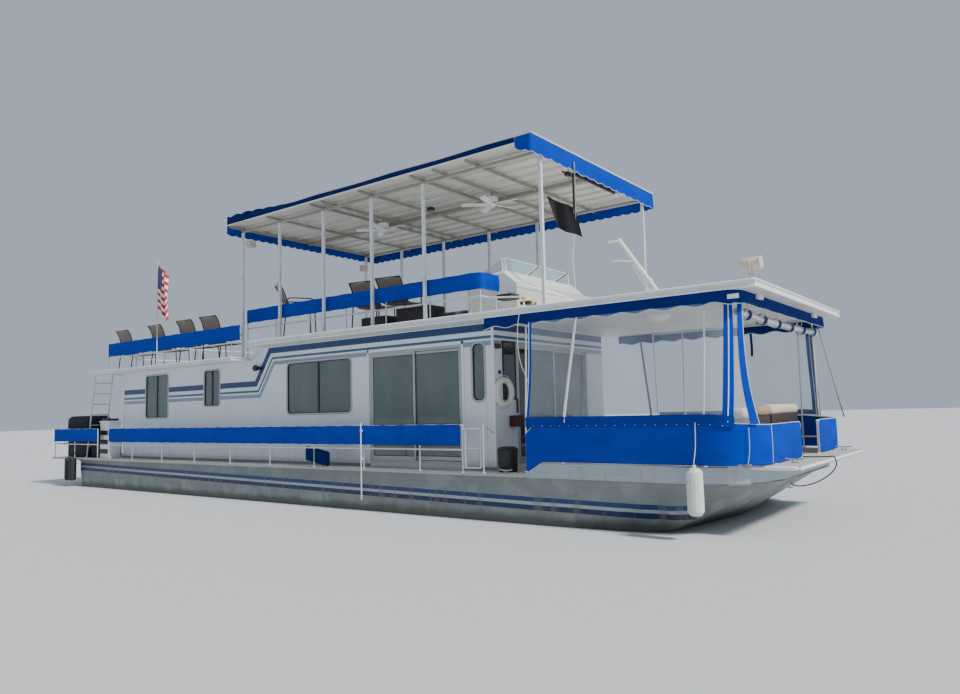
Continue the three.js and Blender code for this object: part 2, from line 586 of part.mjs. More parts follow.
const CURTAIN = {
  thickness: 6, low: RAIL_TOP + PIPE + GAP, high: MAIN_ROOF.under - VALANCE_DROP - 8, lean: 60,
  lowEnd: 1740, highEnd: 1795,
};
for (const { name, flip } of porchSides) {
  const low = flip(follow(porchLine(COVER_OFF, CURTAIN.lowEnd), CURTAIN.low));
  const high = flip(raise(porchLine(COVER_OFF - CURTAIN.lean, CURTAIN.highEnd, PORCH.head), CURTAIN.high));
  piece(`curtain_${name}`, sheet(low, high, CURTAIN.thickness), "vinyl");
}

// Porch valance: a fabric skirt hung under the roof's edge

const SKIRT = { half: 2352, fore: 9290, aft: 5220, corner: 250, thickness: 6 };
const skirtCorner = Array.from({ length: 5 }, (_, k) => {
  const angle = (k / 4) * (Math.PI / 2);
  return [SKIRT.fore - SKIRT.corner + SKIRT.corner * Math.sin(angle),
    SKIRT.half - SKIRT.corner + SKIRT.corner * Math.cos(angle)];
});
const skirtHalf = [[SKIRT.aft, SKIRT.half], ...skirtCorner];
const skirtLine = [...mirror(skirtHalf), ...[...skirtHalf].reverse()];
const skirtTop = MAIN_ROOF.under - GAP;
const [skirtLow, skirtHigh] = [skirtTop - VALANCE_DROP, skirtTop].map((z) => raise(skirtLine, z));
piece("porch_valance", sheet(skirtLow, skirtHigh, SKIRT.thickness), "fabric");

// Upper rail on the low roof, with the flagstaff, and its fabric on both sides

const UPPER = {
  y: 2300, aft: -7040, fore: -1680, reach: -1350, posts: 5, top: 3684, mid: 3330, cover: [3360, 3700],
};
const upperX = Array.from({ length: UPPER.posts }, (_, k) => UPPER.aft + (k * (UPPER.fore - UPPER.aft)) / 4);
const upperFoot = AFT_ROOF.top + GAP;
const LADDER_GAP = -1560;
const STAFF = { x: -4640, y: -2346, radius: 10, top: 5550, hem: 10.05 };
const upperParts = [
  ...SIDES.flatMap(({ sign }) => {
    const y = sign * UPPER.y;
    return [...upperX.map((x) => rod([x, y, upperFoot], [x, y, UPPER.top])),
      ...[UPPER.top, UPPER.mid].map((z) => rod([UPPER.aft - 9, y, z], [UPPER.reach, y, z], PIPE))];
  }),
  ...[UPPER.top, UPPER.mid].map((z) => (
    rod([UPPER.aft, LADDER_GAP - 9, z], [UPPER.aft, UPPER.y + 5, z], PIPE - 1))),
  ...[LADDER_GAP, 0].map((y) => rod([UPPER.aft, y, upperFoot], [UPPER.aft, y, UPPER.top])),
  box([UPPER.aft - 10, UPPER.aft + 10], [-UPPER.y, UPPER.y], [upperFoot, upperFoot + 16]),
  rod([STAFF.x, STAFF.y, upperFoot], [STAFF.x, STAFF.y, STAFF.top], STAFF.radius),
  rod([STAFF.x, -UPPER.y, UPPER.mid], [STAFF.x, STAFF.y, UPPER.mid], 8),
];
piece("upper_rail", join(upperParts), "pipe");
for (const { name, sign } of SIDES) {
  const y = sign * (UPPER.y + COVER_OFF);
  const [low, high] = UPPER.cover.map((z) => raise([[UPPER.aft, y], [UPPER.reach, y]], z));
  piece(`upper_cover_${name}`, sheet(low, high, COVER), "fabric");
}

// Striped flag hanging from its staff

const FLAG = { low: 4330, high: 5440, out: 420 };
const flagLow = [[STAFF.x + STAFF.hem, STAFF.y, FLAG.low + 200], [STAFF.x + 200, STAFF.y - 40, FLAG.low],
  [STAFF.x + FLAG.out, STAFF.y + 30, FLAG.low - 120]];
const flagHigh = [[STAFF.x + STAFF.hem, STAFF.y, FLAG.high], [STAFF.x + 120, STAFF.y - 30, FLAG.high - 120],
  [STAFF.x + 250, STAFF.y + 20, FLAG.high - 420]];
piece("flag_striped", sheet(flagLow, flagHigh, 16), "stripedCloth");

// Top rail on the main roof, inside the canopy posts, and its fabric

const TOP = { y: 1800, aft: -1800, fore: 4750, inner: 1290, top: 4084, mid: 3680, cover: [3800, 4100] };
const topX = [TOP.aft, -800, 300, 1400, 2500, 3600, TOP.fore];
const topFootAt = (x) => (x < STEP_AFT ? AFT_ROOF.top + GAP : MAIN_ROOF.top + GAP);
const topParts = [
  ...SIDES.flatMap(({ sign }) => {
    const y = sign * TOP.y;
    const line = [[TOP.aft, y], [TOP.fore, y], [TOP.fore, sign * TOP.inner]];
    return [...topX.map((x) => rod([x, y, topFootAt(x)], [x, y, TOP.top])),
      pipe(raise(line, TOP.top)), pipe(raise(line, TOP.mid)),
      rod([TOP.fore, sign * TOP.inner, MAIN_ROOF.top + GAP], [TOP.fore, sign * TOP.inner, TOP.top])];
  }),
  box([-810, -790], [-TOP.y, TOP.y], [MAIN_ROOF.top + GAP, MAIN_ROOF.top + 16]),
];
piece("top_rail", join(topParts), "pipe");
for (const { name, sign } of SIDES) {
  const line = [[TOP.aft, sign * (TOP.y + COVER_OFF)], [TOP.fore + COVER_OFF, sign * (TOP.y + COVER_OFF)],
    [TOP.fore + COVER_OFF, sign * TOP.inner]];
  piece(`top_cover_${name}`, sheet(raise(line, TOP.cover[0]), raise(line, TOP.cover[1]), COVER), "fabric");
}

// Canopy sides: a row of square posts under one long beam

const CANOPY_POSTS = [-1840, -540, 860, 2240, 3570, 6090];
const BEAM = {
  half: 26,
  crossHalf: 20,
  side: [CANOPY.under - 96, CANOPY.under - 50 - GAP],
  cross: [CANOPY.under - 50, CANOPY.under - GAP],
};
for (const { name, sign } of SIDES) {
  const across = [sign * CANOPY_POST_Y - BEAM.half, sign * CANOPY_POST_Y + BEAM.half];
  const inner = [across[0] + 1, across[1] - 1];
  const posts = CANOPY_POSTS.map((x) => {
    const foot = x < MAIN_ROOF.aft ? AFT_ROOF.top + GAP : MAIN_ROOF.top + GAP;
    return box([x - 26, x + 26], inner, [foot, BEAM.side[0] + 10]);
  });
  piece(`canopy_side_${name}`, join([box([CANOPY.aft + 20, CANOPY.fore - 20], across, BEAM.side), ...posts]),
    "pipe");
}

// Canopy frame: cross beams on one spine, with the two fan motors and the flag's pole under them

const FANS = [{ name: "fan_fore", x: 4094 }, { name: "fan_aft", x: 1183 }];
const FAN = { y: -500, motor: 110, z: [5690, 5800], rotor: [5655, 5680], blades: 5, reach: 600 };
const FLAG_POLE = { x: 6205, y: -1000, low: 4880, high: 5905, tie: 5712, radius: 12 };
const spine = box([CANOPY.aft + 30, CANOPY.fore - 30], [-BEAM.half, BEAM.half],
  [BEAM.cross[0] - 30, BEAM.cross[1] - 3]);
const crossX = [...CANOPY_POSTS, 4830, ...FANS.map(({ x }) => x)];
const crossBeams = crossX.map((x) => box([x - BEAM.crossHalf, x + BEAM.crossHalf],
  [-CANOPY.half + 30, CANOPY.half - 30], BEAM.cross));
const fanMotors = FANS.map(({ x }) => join([
  rod([x, FAN.y, FAN.z[1] - 10], [x, FAN.y, BEAM.cross[0] + 25], 20),
  rod([x, FAN.y, FAN.z[0]], [x, FAN.y, FAN.z[1]], FAN.motor, 16),
]));
const onPole = (x, z) => [x, FLAG_POLE.y, z];
const foremost = CANOPY_POSTS.at(-1);
const flagPole = join([
  rod(onPole(FLAG_POLE.x, FLAG_POLE.low), onPole(FLAG_POLE.x, FLAG_POLE.high), FLAG_POLE.radius),
  rod(onPole(foremost, FLAG_POLE.tie), onPole(FLAG_POLE.x, FLAG_POLE.tie), 9),
  rod(onPole(foremost, FLAG_POLE.tie), onPole(foremost, BEAM.cross[0] + 25), 9),
]);
piece("canopy_frame", join([spine, ...crossBeams, ...fanMotors, flagPole]), "pipe");

// Canopy roof: one ribbed pan with upturned sides, closed by a strip at each end

const PAN = {
  lip: 25, low: CANOPY.under - 8, soffit: CANOPY.under + 40, deck: CANOPY.under + 70,
  ribs: 13, rib: 12, edge: 60,
};
const ribPitch = (2 * (CANOPY.half - PAN.edge)) / (PAN.ribs - 1);
const ribRows = Array.from({ length: PAN.ribs }, (_, k) => PAN.edge - CANOPY.half + k * ribPitch);
const panRibs = ribRows.flatMap((y) => [
  [y - PAN.rib, PAN.soffit], [y - PAN.rib, CANOPY.under],
  [y + PAN.rib, CANOPY.under], [y + PAN.rib, PAN.soffit],
]);
const panInner = CANOPY.half - PAN.lip;
const panProfile = [
  [-CANOPY.half, PAN.low], [-panInner, PAN.low], [-panInner, PAN.soffit], ...panRibs, [panInner, PAN.soffit],
  [panInner, PAN.low], [CANOPY.half, PAN.low], [CANOPY.half, CANOPY.top], [panInner, CANOPY.top],
  [panInner, PAN.deck], [-panInner, PAN.deck], [-panInner, CANOPY.top], [-CANOPY.half, CANOPY.top],
];
const panEnds = [[CANOPY.aft, CANOPY.aft + 16], [CANOPY.fore - 16, CANOPY.fore]].map((x) => box(x,
  [-CANOPY.half + 5, CANOPY.half - 5], [PAN.low + 4, CANOPY.top - 4]));
piece("canopy_roof", join([alongX(panProfile, [CANOPY.aft + 5, CANOPY.fore - 5]), ...panEnds]), "roof");

// Canopy valance: a fabric skirt on three sides and its blown-up strip on the starboard side

const SKIRT_OUT = 3.4;
const [skirtAft, skirtFore] = [CANOPY.aft - SKIRT_OUT, CANOPY.fore + SKIRT_OUT];
const skirtSide = CANOPY.half + SKIRT_OUT;
const canopySkirt = [
  [skirtAft, -skirtSide], [skirtAft, skirtSide], [skirtFore, skirtSide], [skirtFore, -skirtSide],
];
const canopyStrip = [[skirtAft - 1, -skirtSide], [skirtFore + 1, -skirtSide]];
piece("canopy_valance", join([
  sheet(raise(canopySkirt, CANOPY.skirt), raise(canopySkirt, CANOPY.top - 20), 6),
  sheet(raise(canopyStrip, CANOPY.under + 10), raise(canopyStrip, CANOPY.top - 26), 5),
]), "fabric");

// Ceiling fans: a hub under each motor with five blades

for (const { name, x } of FANS) {
  const [low, high] = FAN.rotor;
  const hub = join([rod([x, FAN.y, low], [x, FAN.y, high], 90, 16), rod([x, FAN.y, high - 5],
    [x, FAN.y, FAN.z[0] - GAP], 30, 12)]);
  const blades = Array.from({ length: FAN.blades }, (_, k) => {
    const blade = new THREE.BoxGeometry(FAN.reach - 60, 130, 10);
    blade.rotateX(0.21);
    blade.translate(FAN.reach / 2 + 30, 0, 0);
    blade.rotateZ((k * 2 * Math.PI) / FAN.blades);
    blade.translate(x, FAN.y, (low + high) / 2);
    return toSolid(blade);
  });
  piece(name, join([hub, ...blades]), "gelcoat");
}

// Flybridge: a moulded fairing with an open cockpit, its bench, windscreen and wheel

const FAIRING = [
  { x: 4000, half: 1200, top: 4120 },
  { x: 4830, half: 1200, top: 4200 },
  { x: 5080, half: 1190, top: 3985 },
  { x: 5450, half: 980, top: 3840 },
  { x: 5800, half: 730, top: 3670 },
  { x: 6100, half: 450, top: 3490 },
  { x: 6250, half: 260, top: 3390 },
];
const SHOULDER = 45;
const fairingShell = loft(FAIRING.map(({ x, half, top }) => [
  [x, -half, MAIN_ROOF.top + GAP], [x, -half, top - SHOULDER], [x, -half + SHOULDER, top],
  [x, half - SHOULDER, top], [x, half, top - SHOULDER], [x, half, MAIN_ROOF.top + GAP],
]));
const COCKPIT = { aft: 3900, fore: 4730, half: 1080, floor: 3400, bench: [4060, 4450] };
const cockpit = box([COCKPIT.aft, COCKPIT.fore], [-COCKPIT.half, COCKPIT.half], [COCKPIT.floor, 4400]);
const [benchAft] = COCKPIT.bench;
const bench = join([box(COCKPIT.bench, [-900, 900], [COCKPIT.floor - 20, 3760]),
  box([benchAft, benchAft + 80], [-900, 900], [COCKPIT.floor - 20, 4090])]);
const WHEEL = { x: 4610, y: -420, z: 3980, radius: 180, tilt: 0.35 };
const wheelAxis = [-Math.cos(WHEEL.tilt), 0, Math.sin(WHEEL.tilt)];
const onAxis = (distance) => [WHEEL.x + wheelAxis[0] * distance, WHEEL.y, WHEEL.z + wheelAxis[2] * distance];
const boss = rod(onAxis(-180), onAxis(-30 - GAP), 45, 12);
piece("fairing", join([cut(fairingShell, [cockpit]), bench, boss]), "gelcoat");

const [wingAft, wingFore] = FAIRING;
const coamingSlope = (wingFore.top - wingAft.top) / (wingFore.x - wingAft.x);
const coaming = (x) => wingAft.top + (x - wingAft.x) * coamingSlope;
const screenHalf = [
  { low: [4340, 1142], high: [4350, 1138, 4250] },
  { low: [4760, 1142], high: [4735, 1136, 4432] },
  { low: [4800, 1102], high: [4778, 1096, 4440] },
];
const screenEdge = (edge) => {
  const half = screenHalf.map((row) => row[edge]);
  return [...mirror(half), ...[...half].reverse()];
};
const screenLow = screenEdge("low").map(([x, y]) => [x, y, coaming(x) + GAP + 0.5]);
piece("windscreen", sheet(screenLow, screenEdge("high"), 8), "glass");

const wheelRim = new THREE.TorusGeometry(WHEEL.radius, 14, 6, 20);
wheelRim.rotateY(-Math.PI / 2 + WHEEL.tilt);
wheelRim.translate(...onAxis(0));
const spokes = Array.from({ length: 3 }, (_, k) => {
  const angle = Math.PI / 2 + (k * 2 * Math.PI) / 3;
  const reach = new THREE.Vector3(0, Math.cos(angle), Math.sin(angle)).multiplyScalar(WHEEL.radius);
  reach.applyAxisAngle(new THREE.Vector3(0, 1, 0), WHEEL.tilt);
  const tip = new THREE.Vector3(...onAxis(0)).add(reach);
  return rod(onAxis(0), tip.toArray(), 9);
});
piece("helm_wheel", join([toSolid(wheelRim), ...spokes, rod(onAxis(-30), onAxis(20), 32, 12)]), "black");

// Folding mast: two legs with two short arms at their upper ends, hinged on the roof

const mastPoint = (t, shift = 0) => [
  MAST.pivot[0] + t * (MAST.top[0] - MAST.pivot[0]) - shift, 0,
  MAST.pivot[2] + t * (MAST.top[2] - MAST.pivot[2])];
const mastParts = [
  rod(mastPoint(0), mastPoint(1), MAST.radius),
  rod(mastPoint(0.08, 150), mastPoint(0.69), 22),
  rod(mastPoint(0.02), mastPoint(0.1, 150), 18),
  rod(mastPoint(0.985), [mastPoint(1)[0] - 215, 0, mastPoint(1)[2] - 10], 20),
  rod(mastPoint(0.68), [mastPoint(0.68)[0] - 420, 0, mastPoint(0.68)[2] + 75], 20),
  crossPin(MAST.ears[1] + 4, 14, 6),
  crossPin(MAST.ears[0] - GAP, 26, 12),
];
piece("mast", join(mastParts), "gelcoat");

// Life ring on the front wall

const RING = { y: -1700, z: 2020, radius: 205, tube: 50 };
const ring = new THREE.TorusGeometry(RING.radius, RING.tube, 8, 18);
ring.rotateY(Math.PI / 2);
ring.translate(CABIN.fore + RING.tube + GAP, RING.y, RING.z);
piece("life_ring", toSolid(ring), "foam");

// Fender over the starboard side of the bow deck, on its line

const FENDER = { x: 8670, radius: 106, low: 320, high: 920, line: 12 };
const fenderY = -(RAIL_Y + PIPE + GAP + COVER + 1 + FENDER.radius);
const fenderProfile = [[0, FENDER.low], [68, FENDER.low], [FENDER.radius, FENDER.low + 50],
  [FENDER.radius, FENDER.high - 50], [62, FENDER.high], [25, FENDER.high + 10], [25, FENDER.high + 40],
  [0, FENDER.high + 40]];
const fenderBody = new THREE.LatheGeometry(fenderProfile.map(([r, z]) => new THREE.Vector2(r, z)), 16);
fenderBody.rotateX(Math.PI / 2);
fenderBody.translate(FENDER.x, fenderY, 0);
piece("fender", toSolid(fenderBody), "foam");

// Free lines: each is a tube along points chosen by hand

function line(points, diameter) {
  const curve = new THREE.CatmullRomCurve3(points.map((point) => new THREE.Vector3(...point)));
  const section = new THREE.Shape();
  section.absarc(0, 0, diameter / 2, 0, Math.PI * 2);
  const steps = Math.min(80, Math.ceil(curve.getLength() / (diameter * 2.5)));
  return toSolid(new THREE.ExtrudeGeometry(section, { steps, extrudePath: curve, curveSegments: 4 }));
}

const lineY = -(RAIL_Y + COVER_OFF + COVER / 2 + 2 * GAP + FENDER.line / 2);
const FENDER_LINE = [
  [8670, lineY, 1500], [8670, lineY - 1, 1450], [8670, lineY - 5, 1350], [8670, lineY - 16, 1250],
  [8670, lineY - 36, 1150], [8670, lineY - 64, 1075], [8670, lineY - 92, 1020], [8670, fenderY, 985],
  [8670, fenderY, 960.4],
];
piece("fender_line", line(FENDER_LINE, FENDER.line), "foam");

const MOORING_LINE = [
  [9440, -300, 939.6], [9500, -335, 939.6], [9570, -325, 939.6], [9640, -290, 939.6], [9700, -255, 939.6],
  [9760, -230, 939.6], [9800, -215, 945], [9834, -205, 939], [9850, -190, 890], [9850, -172, 820],
  [9812, -185, 740], [9730, -185, 660], [9620, -150, 590], [9490, -90, 530], [9370, -40, 495],
  [9280, -12, 482], [9210, -2, 490], [9165, 0, 513],
];
piece("mooring_line", line(MOORING_LINE, 18), "black");

// Stern drives: a leg that steers between the bracket's ears, and its propeller

const LEG = {
  barrel: 55, sides: 16, under: -40, headTop: 220, cowlTop: 260, shank: [-30, -520], plateAft: -8900,
  plate: [-330, -315], shaft: -560, pod: 80, skeg: [-600, -820],
};
const PROPELLER = { hub: 70, length: 150, blades: 4, blade: [12, 130, 150], reach: 125, pitch: 0.75 };
for (const { name, sign } of SIDES) {
  const y = sign * DRIVE.y;
  const across = (half) => [y - half, y + half];
  const astern = (distance) => DRIVE.pivot - distance;
  const [lower, upper] = DRIVE.ears;
  const barrel = rod([DRIVE.pivot, y, lower[1] + GAP], [DRIVE.pivot, y, upper[0] - GAP], LEG.barrel,
    LEG.sides);
  const head = box([astern(330), DRIVE.pivot], across(60), [LEG.under, LEG.headTop]);
  const cowl = box([astern(420), astern(90)], across(120), [LEG.under, LEG.cowlTop]);
  const [shankTop, shankFoot] = LEG.shank;
  const shank = alongY([[astern(100), shankTop], [astern(380), shankTop], [astern(400), shankFoot],
    [astern(140), shankFoot]], across(45));
  const plate = box([LEG.plateAft, astern(130)], across(110), LEG.plate);
  const pod = rod([astern(60), y, LEG.shaft], [astern(460), y, LEG.shaft], LEG.pod, LEG.sides);
  const [skegTop, skegFoot] = LEG.skeg;
  const skeg = alongY([[astern(120), skegTop], [astern(400), skegTop], [astern(420), skegFoot],
    [astern(300), skegFoot]], across(10));
  piece(`drive_${name}`, join([barrel, head, cowl, shank, plate, pod, skeg]), "black");

  const hubFore = astern(460) - GAP;
  const hub = rod([hubFore, y, LEG.shaft], [hubFore - PROPELLER.length, y, LEG.shaft], PROPELLER.hub,
    LEG.sides);
  const twist = new THREE.Matrix4().makeRotationAxis(new THREE.Vector3(0, 0, 1), sign * PROPELLER.pitch);
  const blades = Array.from({ length: PROPELLER.blades }, (_, k) => {
    const blade = new THREE.BoxGeometry(...PROPELLER.blade);
    blade.translate(0, 0, PROPELLER.reach);
    blade.applyMatrix4(twist);
    blade.rotateX((k * 2 * Math.PI) / PROPELLER.blades);
    blade.translate(hubFore - PROPELLER.length / 2, y, LEG.shaft);
    return toSolid(blade);
  });
  piece(`propeller_${name}`, join([hub, ...blades]), "metal");
}

export default boat;
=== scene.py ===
"""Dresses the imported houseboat: its paint, canvas, clear curtains, rails, seats and flags.

Metres throughout. X runs to the bow, Y to port and Z up, and the water lies at Z = 0.
"""

import json
import logging
import math
from dataclasses import dataclass, field
from enum import Enum
from typing import Callable, Iterable, Sequence

import bpy
from mathutils import Matrix, Vector

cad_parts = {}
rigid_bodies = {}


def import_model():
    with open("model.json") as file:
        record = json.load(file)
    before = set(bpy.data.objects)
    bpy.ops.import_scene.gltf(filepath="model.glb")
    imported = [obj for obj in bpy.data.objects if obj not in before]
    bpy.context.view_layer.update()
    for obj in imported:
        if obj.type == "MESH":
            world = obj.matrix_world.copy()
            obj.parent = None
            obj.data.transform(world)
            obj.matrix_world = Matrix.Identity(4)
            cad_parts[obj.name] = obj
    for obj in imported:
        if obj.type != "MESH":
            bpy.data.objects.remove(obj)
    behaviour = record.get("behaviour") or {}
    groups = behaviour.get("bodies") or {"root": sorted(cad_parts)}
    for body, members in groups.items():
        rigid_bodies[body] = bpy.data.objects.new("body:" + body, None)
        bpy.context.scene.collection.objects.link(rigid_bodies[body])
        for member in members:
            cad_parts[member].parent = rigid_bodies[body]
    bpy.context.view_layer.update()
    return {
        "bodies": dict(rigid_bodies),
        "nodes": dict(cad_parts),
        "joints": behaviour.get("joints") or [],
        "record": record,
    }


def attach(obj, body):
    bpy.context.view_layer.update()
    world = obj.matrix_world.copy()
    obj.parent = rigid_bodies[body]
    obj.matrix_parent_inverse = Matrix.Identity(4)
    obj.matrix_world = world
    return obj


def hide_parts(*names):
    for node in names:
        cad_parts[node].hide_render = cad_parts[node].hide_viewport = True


LOG = logging.getLogger("houseboat")

Point = tuple[float, float, float]
Pair = tuple[float, float]
Colour = tuple[float, float, float]
Piece = bpy.types.Object

# Levels and tube radii that several assemblies share, in metres
DECK_Z = 0.740
BOW_Z = 0.930
RAMP = (5.95, 6.26)
LOW_ROOF_Z = 3.020
MAIN_ROOF_Z = 3.310
RAIL_TUBE = 0.0158
POST_TUBE = 0.0132
THIN_TUBE = 0.010
CANVAS_OFF = 0.0202

# Where loose things stand, just clear of the surface below them
ON_DECK = 0.742
ON_MAIN_ROOF = 3.312


class Side(Enum):
    """A side of the boat; its value is the sign of Y there."""

    STARBOARD = -1
    PORT = 1

    @property
    def label(self) -> str:
        """The side's name as the nodes use it."""
        return self.name.lower()


class Face(Enum):
    """The way that a cabin wall faces."""

    SIDE = "side"
    FORE = "fore"
    AFT = "aft"


# Shader values and materials


class Value:
    """One output of a shader node, which takes part in Python arithmetic."""

    def __init__(self, graph: "Graph", socket: bpy.types.NodeSocket) -> None:
        """Keeps the socket."""
        self.graph = graph
        self.socket = socket

    def __add__(self, other: "Value | float") -> "Value":
        """Adds."""
        return self.graph.math("ADD", self, other)

    def __radd__(self, other: "Value | float") -> "Value":
        """Adds, with the value on the right."""
        return self.graph.math("ADD", other, self)

    def __sub__(self, other: "Value | float") -> "Value":
        """Subtracts."""
        return self.graph.math("SUBTRACT", self, other)

    def __rsub__(self, other: "Value | float") -> "Value":
        """Subtracts the value from what stands on the left."""
        return self.graph.math("SUBTRACT", other, self)

    def __mul__(self, other: "Value | float") -> "Value":
        """Multiplies."""
        return self.graph.math("MULTIPLY", self, other)

    def __rmul__(self, other: "Value | float") -> "Value":
        """Multiplies, with the value on the right."""
        return self.graph.math("MULTIPLY", other, self)

    def __truediv__(self, other: "Value | float") -> "Value":
        """Divides."""
        return self.graph.math("DIVIDE", self, other)

    def __pow__(self, other: "Value | float") -> "Value":
        """Raises to a power."""
        return self.graph.math("POWER", self, other)

    def absolute(self) -> "Value":
        """The value without its sign."""
        return self.graph.math("ABSOLUTE", self, 0.0)

    def least(self, other: "Value | float") -> "Value":
        """The smaller of two values."""
        return self.graph.math("MINIMUM", self, other)

    def most(self, other: "Value | float") -> "Value":
        """The larger of two values."""
        return self.graph.math("MAXIMUM", self, other)

    def above(self, edge: float, soft: float = 0.002) -> "Value":
        """A mask that rises from 0 to 1 across an edge.

        Args:
            edge: Where the mask is a half.
            soft: Half the width of the change.

        Returns:
            The mask, from 0 to 1.
        """
        settings = {"interpolation_type": "SMOOTHSTEP"}
        inputs = {"Value": self, "From Min": edge - soft, "From Max": edge + soft}
        return self.graph.value("ShaderNodeMapRange", settings, inputs)

    def inside(self, low: float, high: float, soft: float = 0.002) -> "Value":
        """A mask that is 1 between two edges."""
        return self.above(low, soft) * (1.0 - self.above(high, soft))

    def repeated(self, pitch: float) -> "Value":
        """The distance to the nearest multiple of a pitch."""
        return self.graph.math("PINGPONG", self, pitch / 2)


class Graph:
    """The node tree of one material."""

    def __init__(self, name: str) -> None:
        """Makes an empty material with its shader.

        Args:
            name: The material's name.
        """
        self.material = bpy.data.materials.new(name)
        self.material.use_nodes = True
        self.tree = self.material.node_tree
        self.tree.nodes.clear()
        self.shader = self.tree.nodes.new("ShaderNodeBsdfPrincipled")
        output = self.tree.nodes.new("ShaderNodeOutputMaterial")
        self.tree.links.new(self.shader.outputs[0], output.inputs["Surface"])

    def node(self, kind: str, settings: dict, inputs: dict) -> bpy.types.ShaderNode:
        """Adds a node.

        Args:
            kind: The node's type.
            settings: Its own properties, set before the sockets.
            inputs: The value or link of each socket, by name or place.

        Returns:
            The node.
        """
        made = self.tree.nodes.new(kind)
        for key, setting in settings.items():
            setattr(made, key, setting)
        for key, given in inputs.items():
            self.feed(made.inputs[key], given)
        return made

    def feed(self, socket: bpy.types.NodeSocket, given: object) -> None:
        """Links a socket to a value, or sets it.

        Args:
            socket: The input.
            given: A value of this graph, a number or a colour.
        """
        if isinstance(given, Value):
            self.tree.links.new(given.socket, socket)
        elif isinstance(given, tuple) and len(given) == 3 and len(socket.default_value) == 4:
            socket.default_value = (*given, 1.0)
        else:
            socket.default_value = given

    def value(self, kind: str, settings: dict, inputs: dict, output: object = 0) -> Value:
        """Adds a node and returns one of its outputs."""
        return Value(self, self.node(kind, settings, inputs).outputs[output])

    def math(self, operation: str, first: "Value | float", second: "Value | float") -> Value:
        """Adds a Math node."""
        return self.value("ShaderNodeMath", {"operation": operation}, {0: first, 1: second})

    def place(self) -> Value:
        """The point on the piece, in metres."""
        return self.value("ShaderNodeTexCoord", {}, {}, "Object")

    def axes(self) -> tuple[Value, Value, Value]:
        """The point's three coordinates."""
        split = self.node("ShaderNodeSeparateXYZ", {}, {0: self.place()})
        return tuple(Value(self, output) for output in split.outputs)

    def cloth_place(self) -> Value:
        """The point on a cloth, in metres, from its UV map."""
        return self.value("ShaderNodeUVMap", {"uv_map": "cloth"}, {})

    def cloth_axes(self) -> tuple[Value, Value]:
        """The two distances along a cloth."""
        split = self.node("ShaderNodeSeparateXYZ", {}, {0: self.cloth_place()})
        return Value(self, split.outputs[0]), Value(self, split.outputs[1])

    def stretched(self, scale: Point) -> Value:
        """The point, scaled along each axis."""
        return self.value("ShaderNodeMapping", {}, {"Vector": self.place(), "Scale": scale})

    def noise(self, scale: float, detail: float = 3.0, at: "Value | None" = None) -> Value:
        """A noise from about 0 to 1."""
        inputs = {"Vector": at or self.place(), "Scale": scale, "Detail": detail}
        return self.value("ShaderNodeTexNoise", {}, inputs)

    def blend(self, share: "Value | float", first: object, second: object) -> Value:
        """A colour between two colours."""
        made = self.node("ShaderNodeMix", {"data_type": "RGBA"}, {0: share, 6: first, 7: second})
        return Value(self, made.outputs[2])

    def dress(self, height: "Value | None" = None, depth: float = 0.001, **sockets: object) -> None:
        """Feeds the shader.

        Args:
            height: The surface's relief, from 0 to 1, or none.
            depth: How many metres that relief is deep.
            sockets: The shader's sockets, with spaces as underscores.
        """
        for key, given in sockets.items():
            self.feed(self.shader.inputs[key.replace("_", " ")], given)
        if height is not None:
            inputs = {"Height": height, "Distance": depth, "Strength": 1.0}
            self.feed(self.shader.inputs["Normal"], self.value("ShaderNodeBump", {}, inputs))


def shade(colour: Colour, share: float) -> Colour:
    """A colour with each of its parts scaled."""
    return tuple(part * share for part in colour)


@dataclass(frozen=True)
class Finish:
    """A surface finish; each kind paints its own graph."""

    title: str

    def paint(self, graph: Graph) -> None:
        """Builds the finish in a graph."""
        raise NotImplementedError

    def material(self) -> bpy.types.Material:
        """The finish's material, made once.

        Returns:
            The material.
        """
        known = bpy.data.materials.get(self.title)
        if known:
            return known
        graph = Graph(self.title)
        self.paint(graph)
        return graph.material


@dataclass(frozen=True)
class Enamel(Finish):
    """Paint, gelcoat or plastic with a faint mottle, grime and orange peel."""

    colour: Colour = (0.8, 0.8, 0.78)
    rough: float = 0.4
    grime: float = 0.12
    metal: float = 0.0
    coat: float = 0.0
    peel: float = 0.0003
    scale: float = 3.0

    def paint(self, graph: Graph) -> None:
        """Builds the paint.

        Args:
            graph: The material's nodes.
        """
        cloud = graph.noise(self.scale, 5.0)
        fine = graph.noise(self.scale * 60, 2.0)
        dirt = cloud.above(0.62, 0.12) * self.grime
        tint = graph.blend(dirt, self.colour, shade(self.colour, 0.55))
        graph.dress(
            height=fine, depth=self.peel, Base_Color=tint,
            Roughness=self.rough + cloud * 0.14 - 0.05,
            Metallic=self.metal, Coat_Weight=self.coat, Coat_Roughness=0.12,
        )


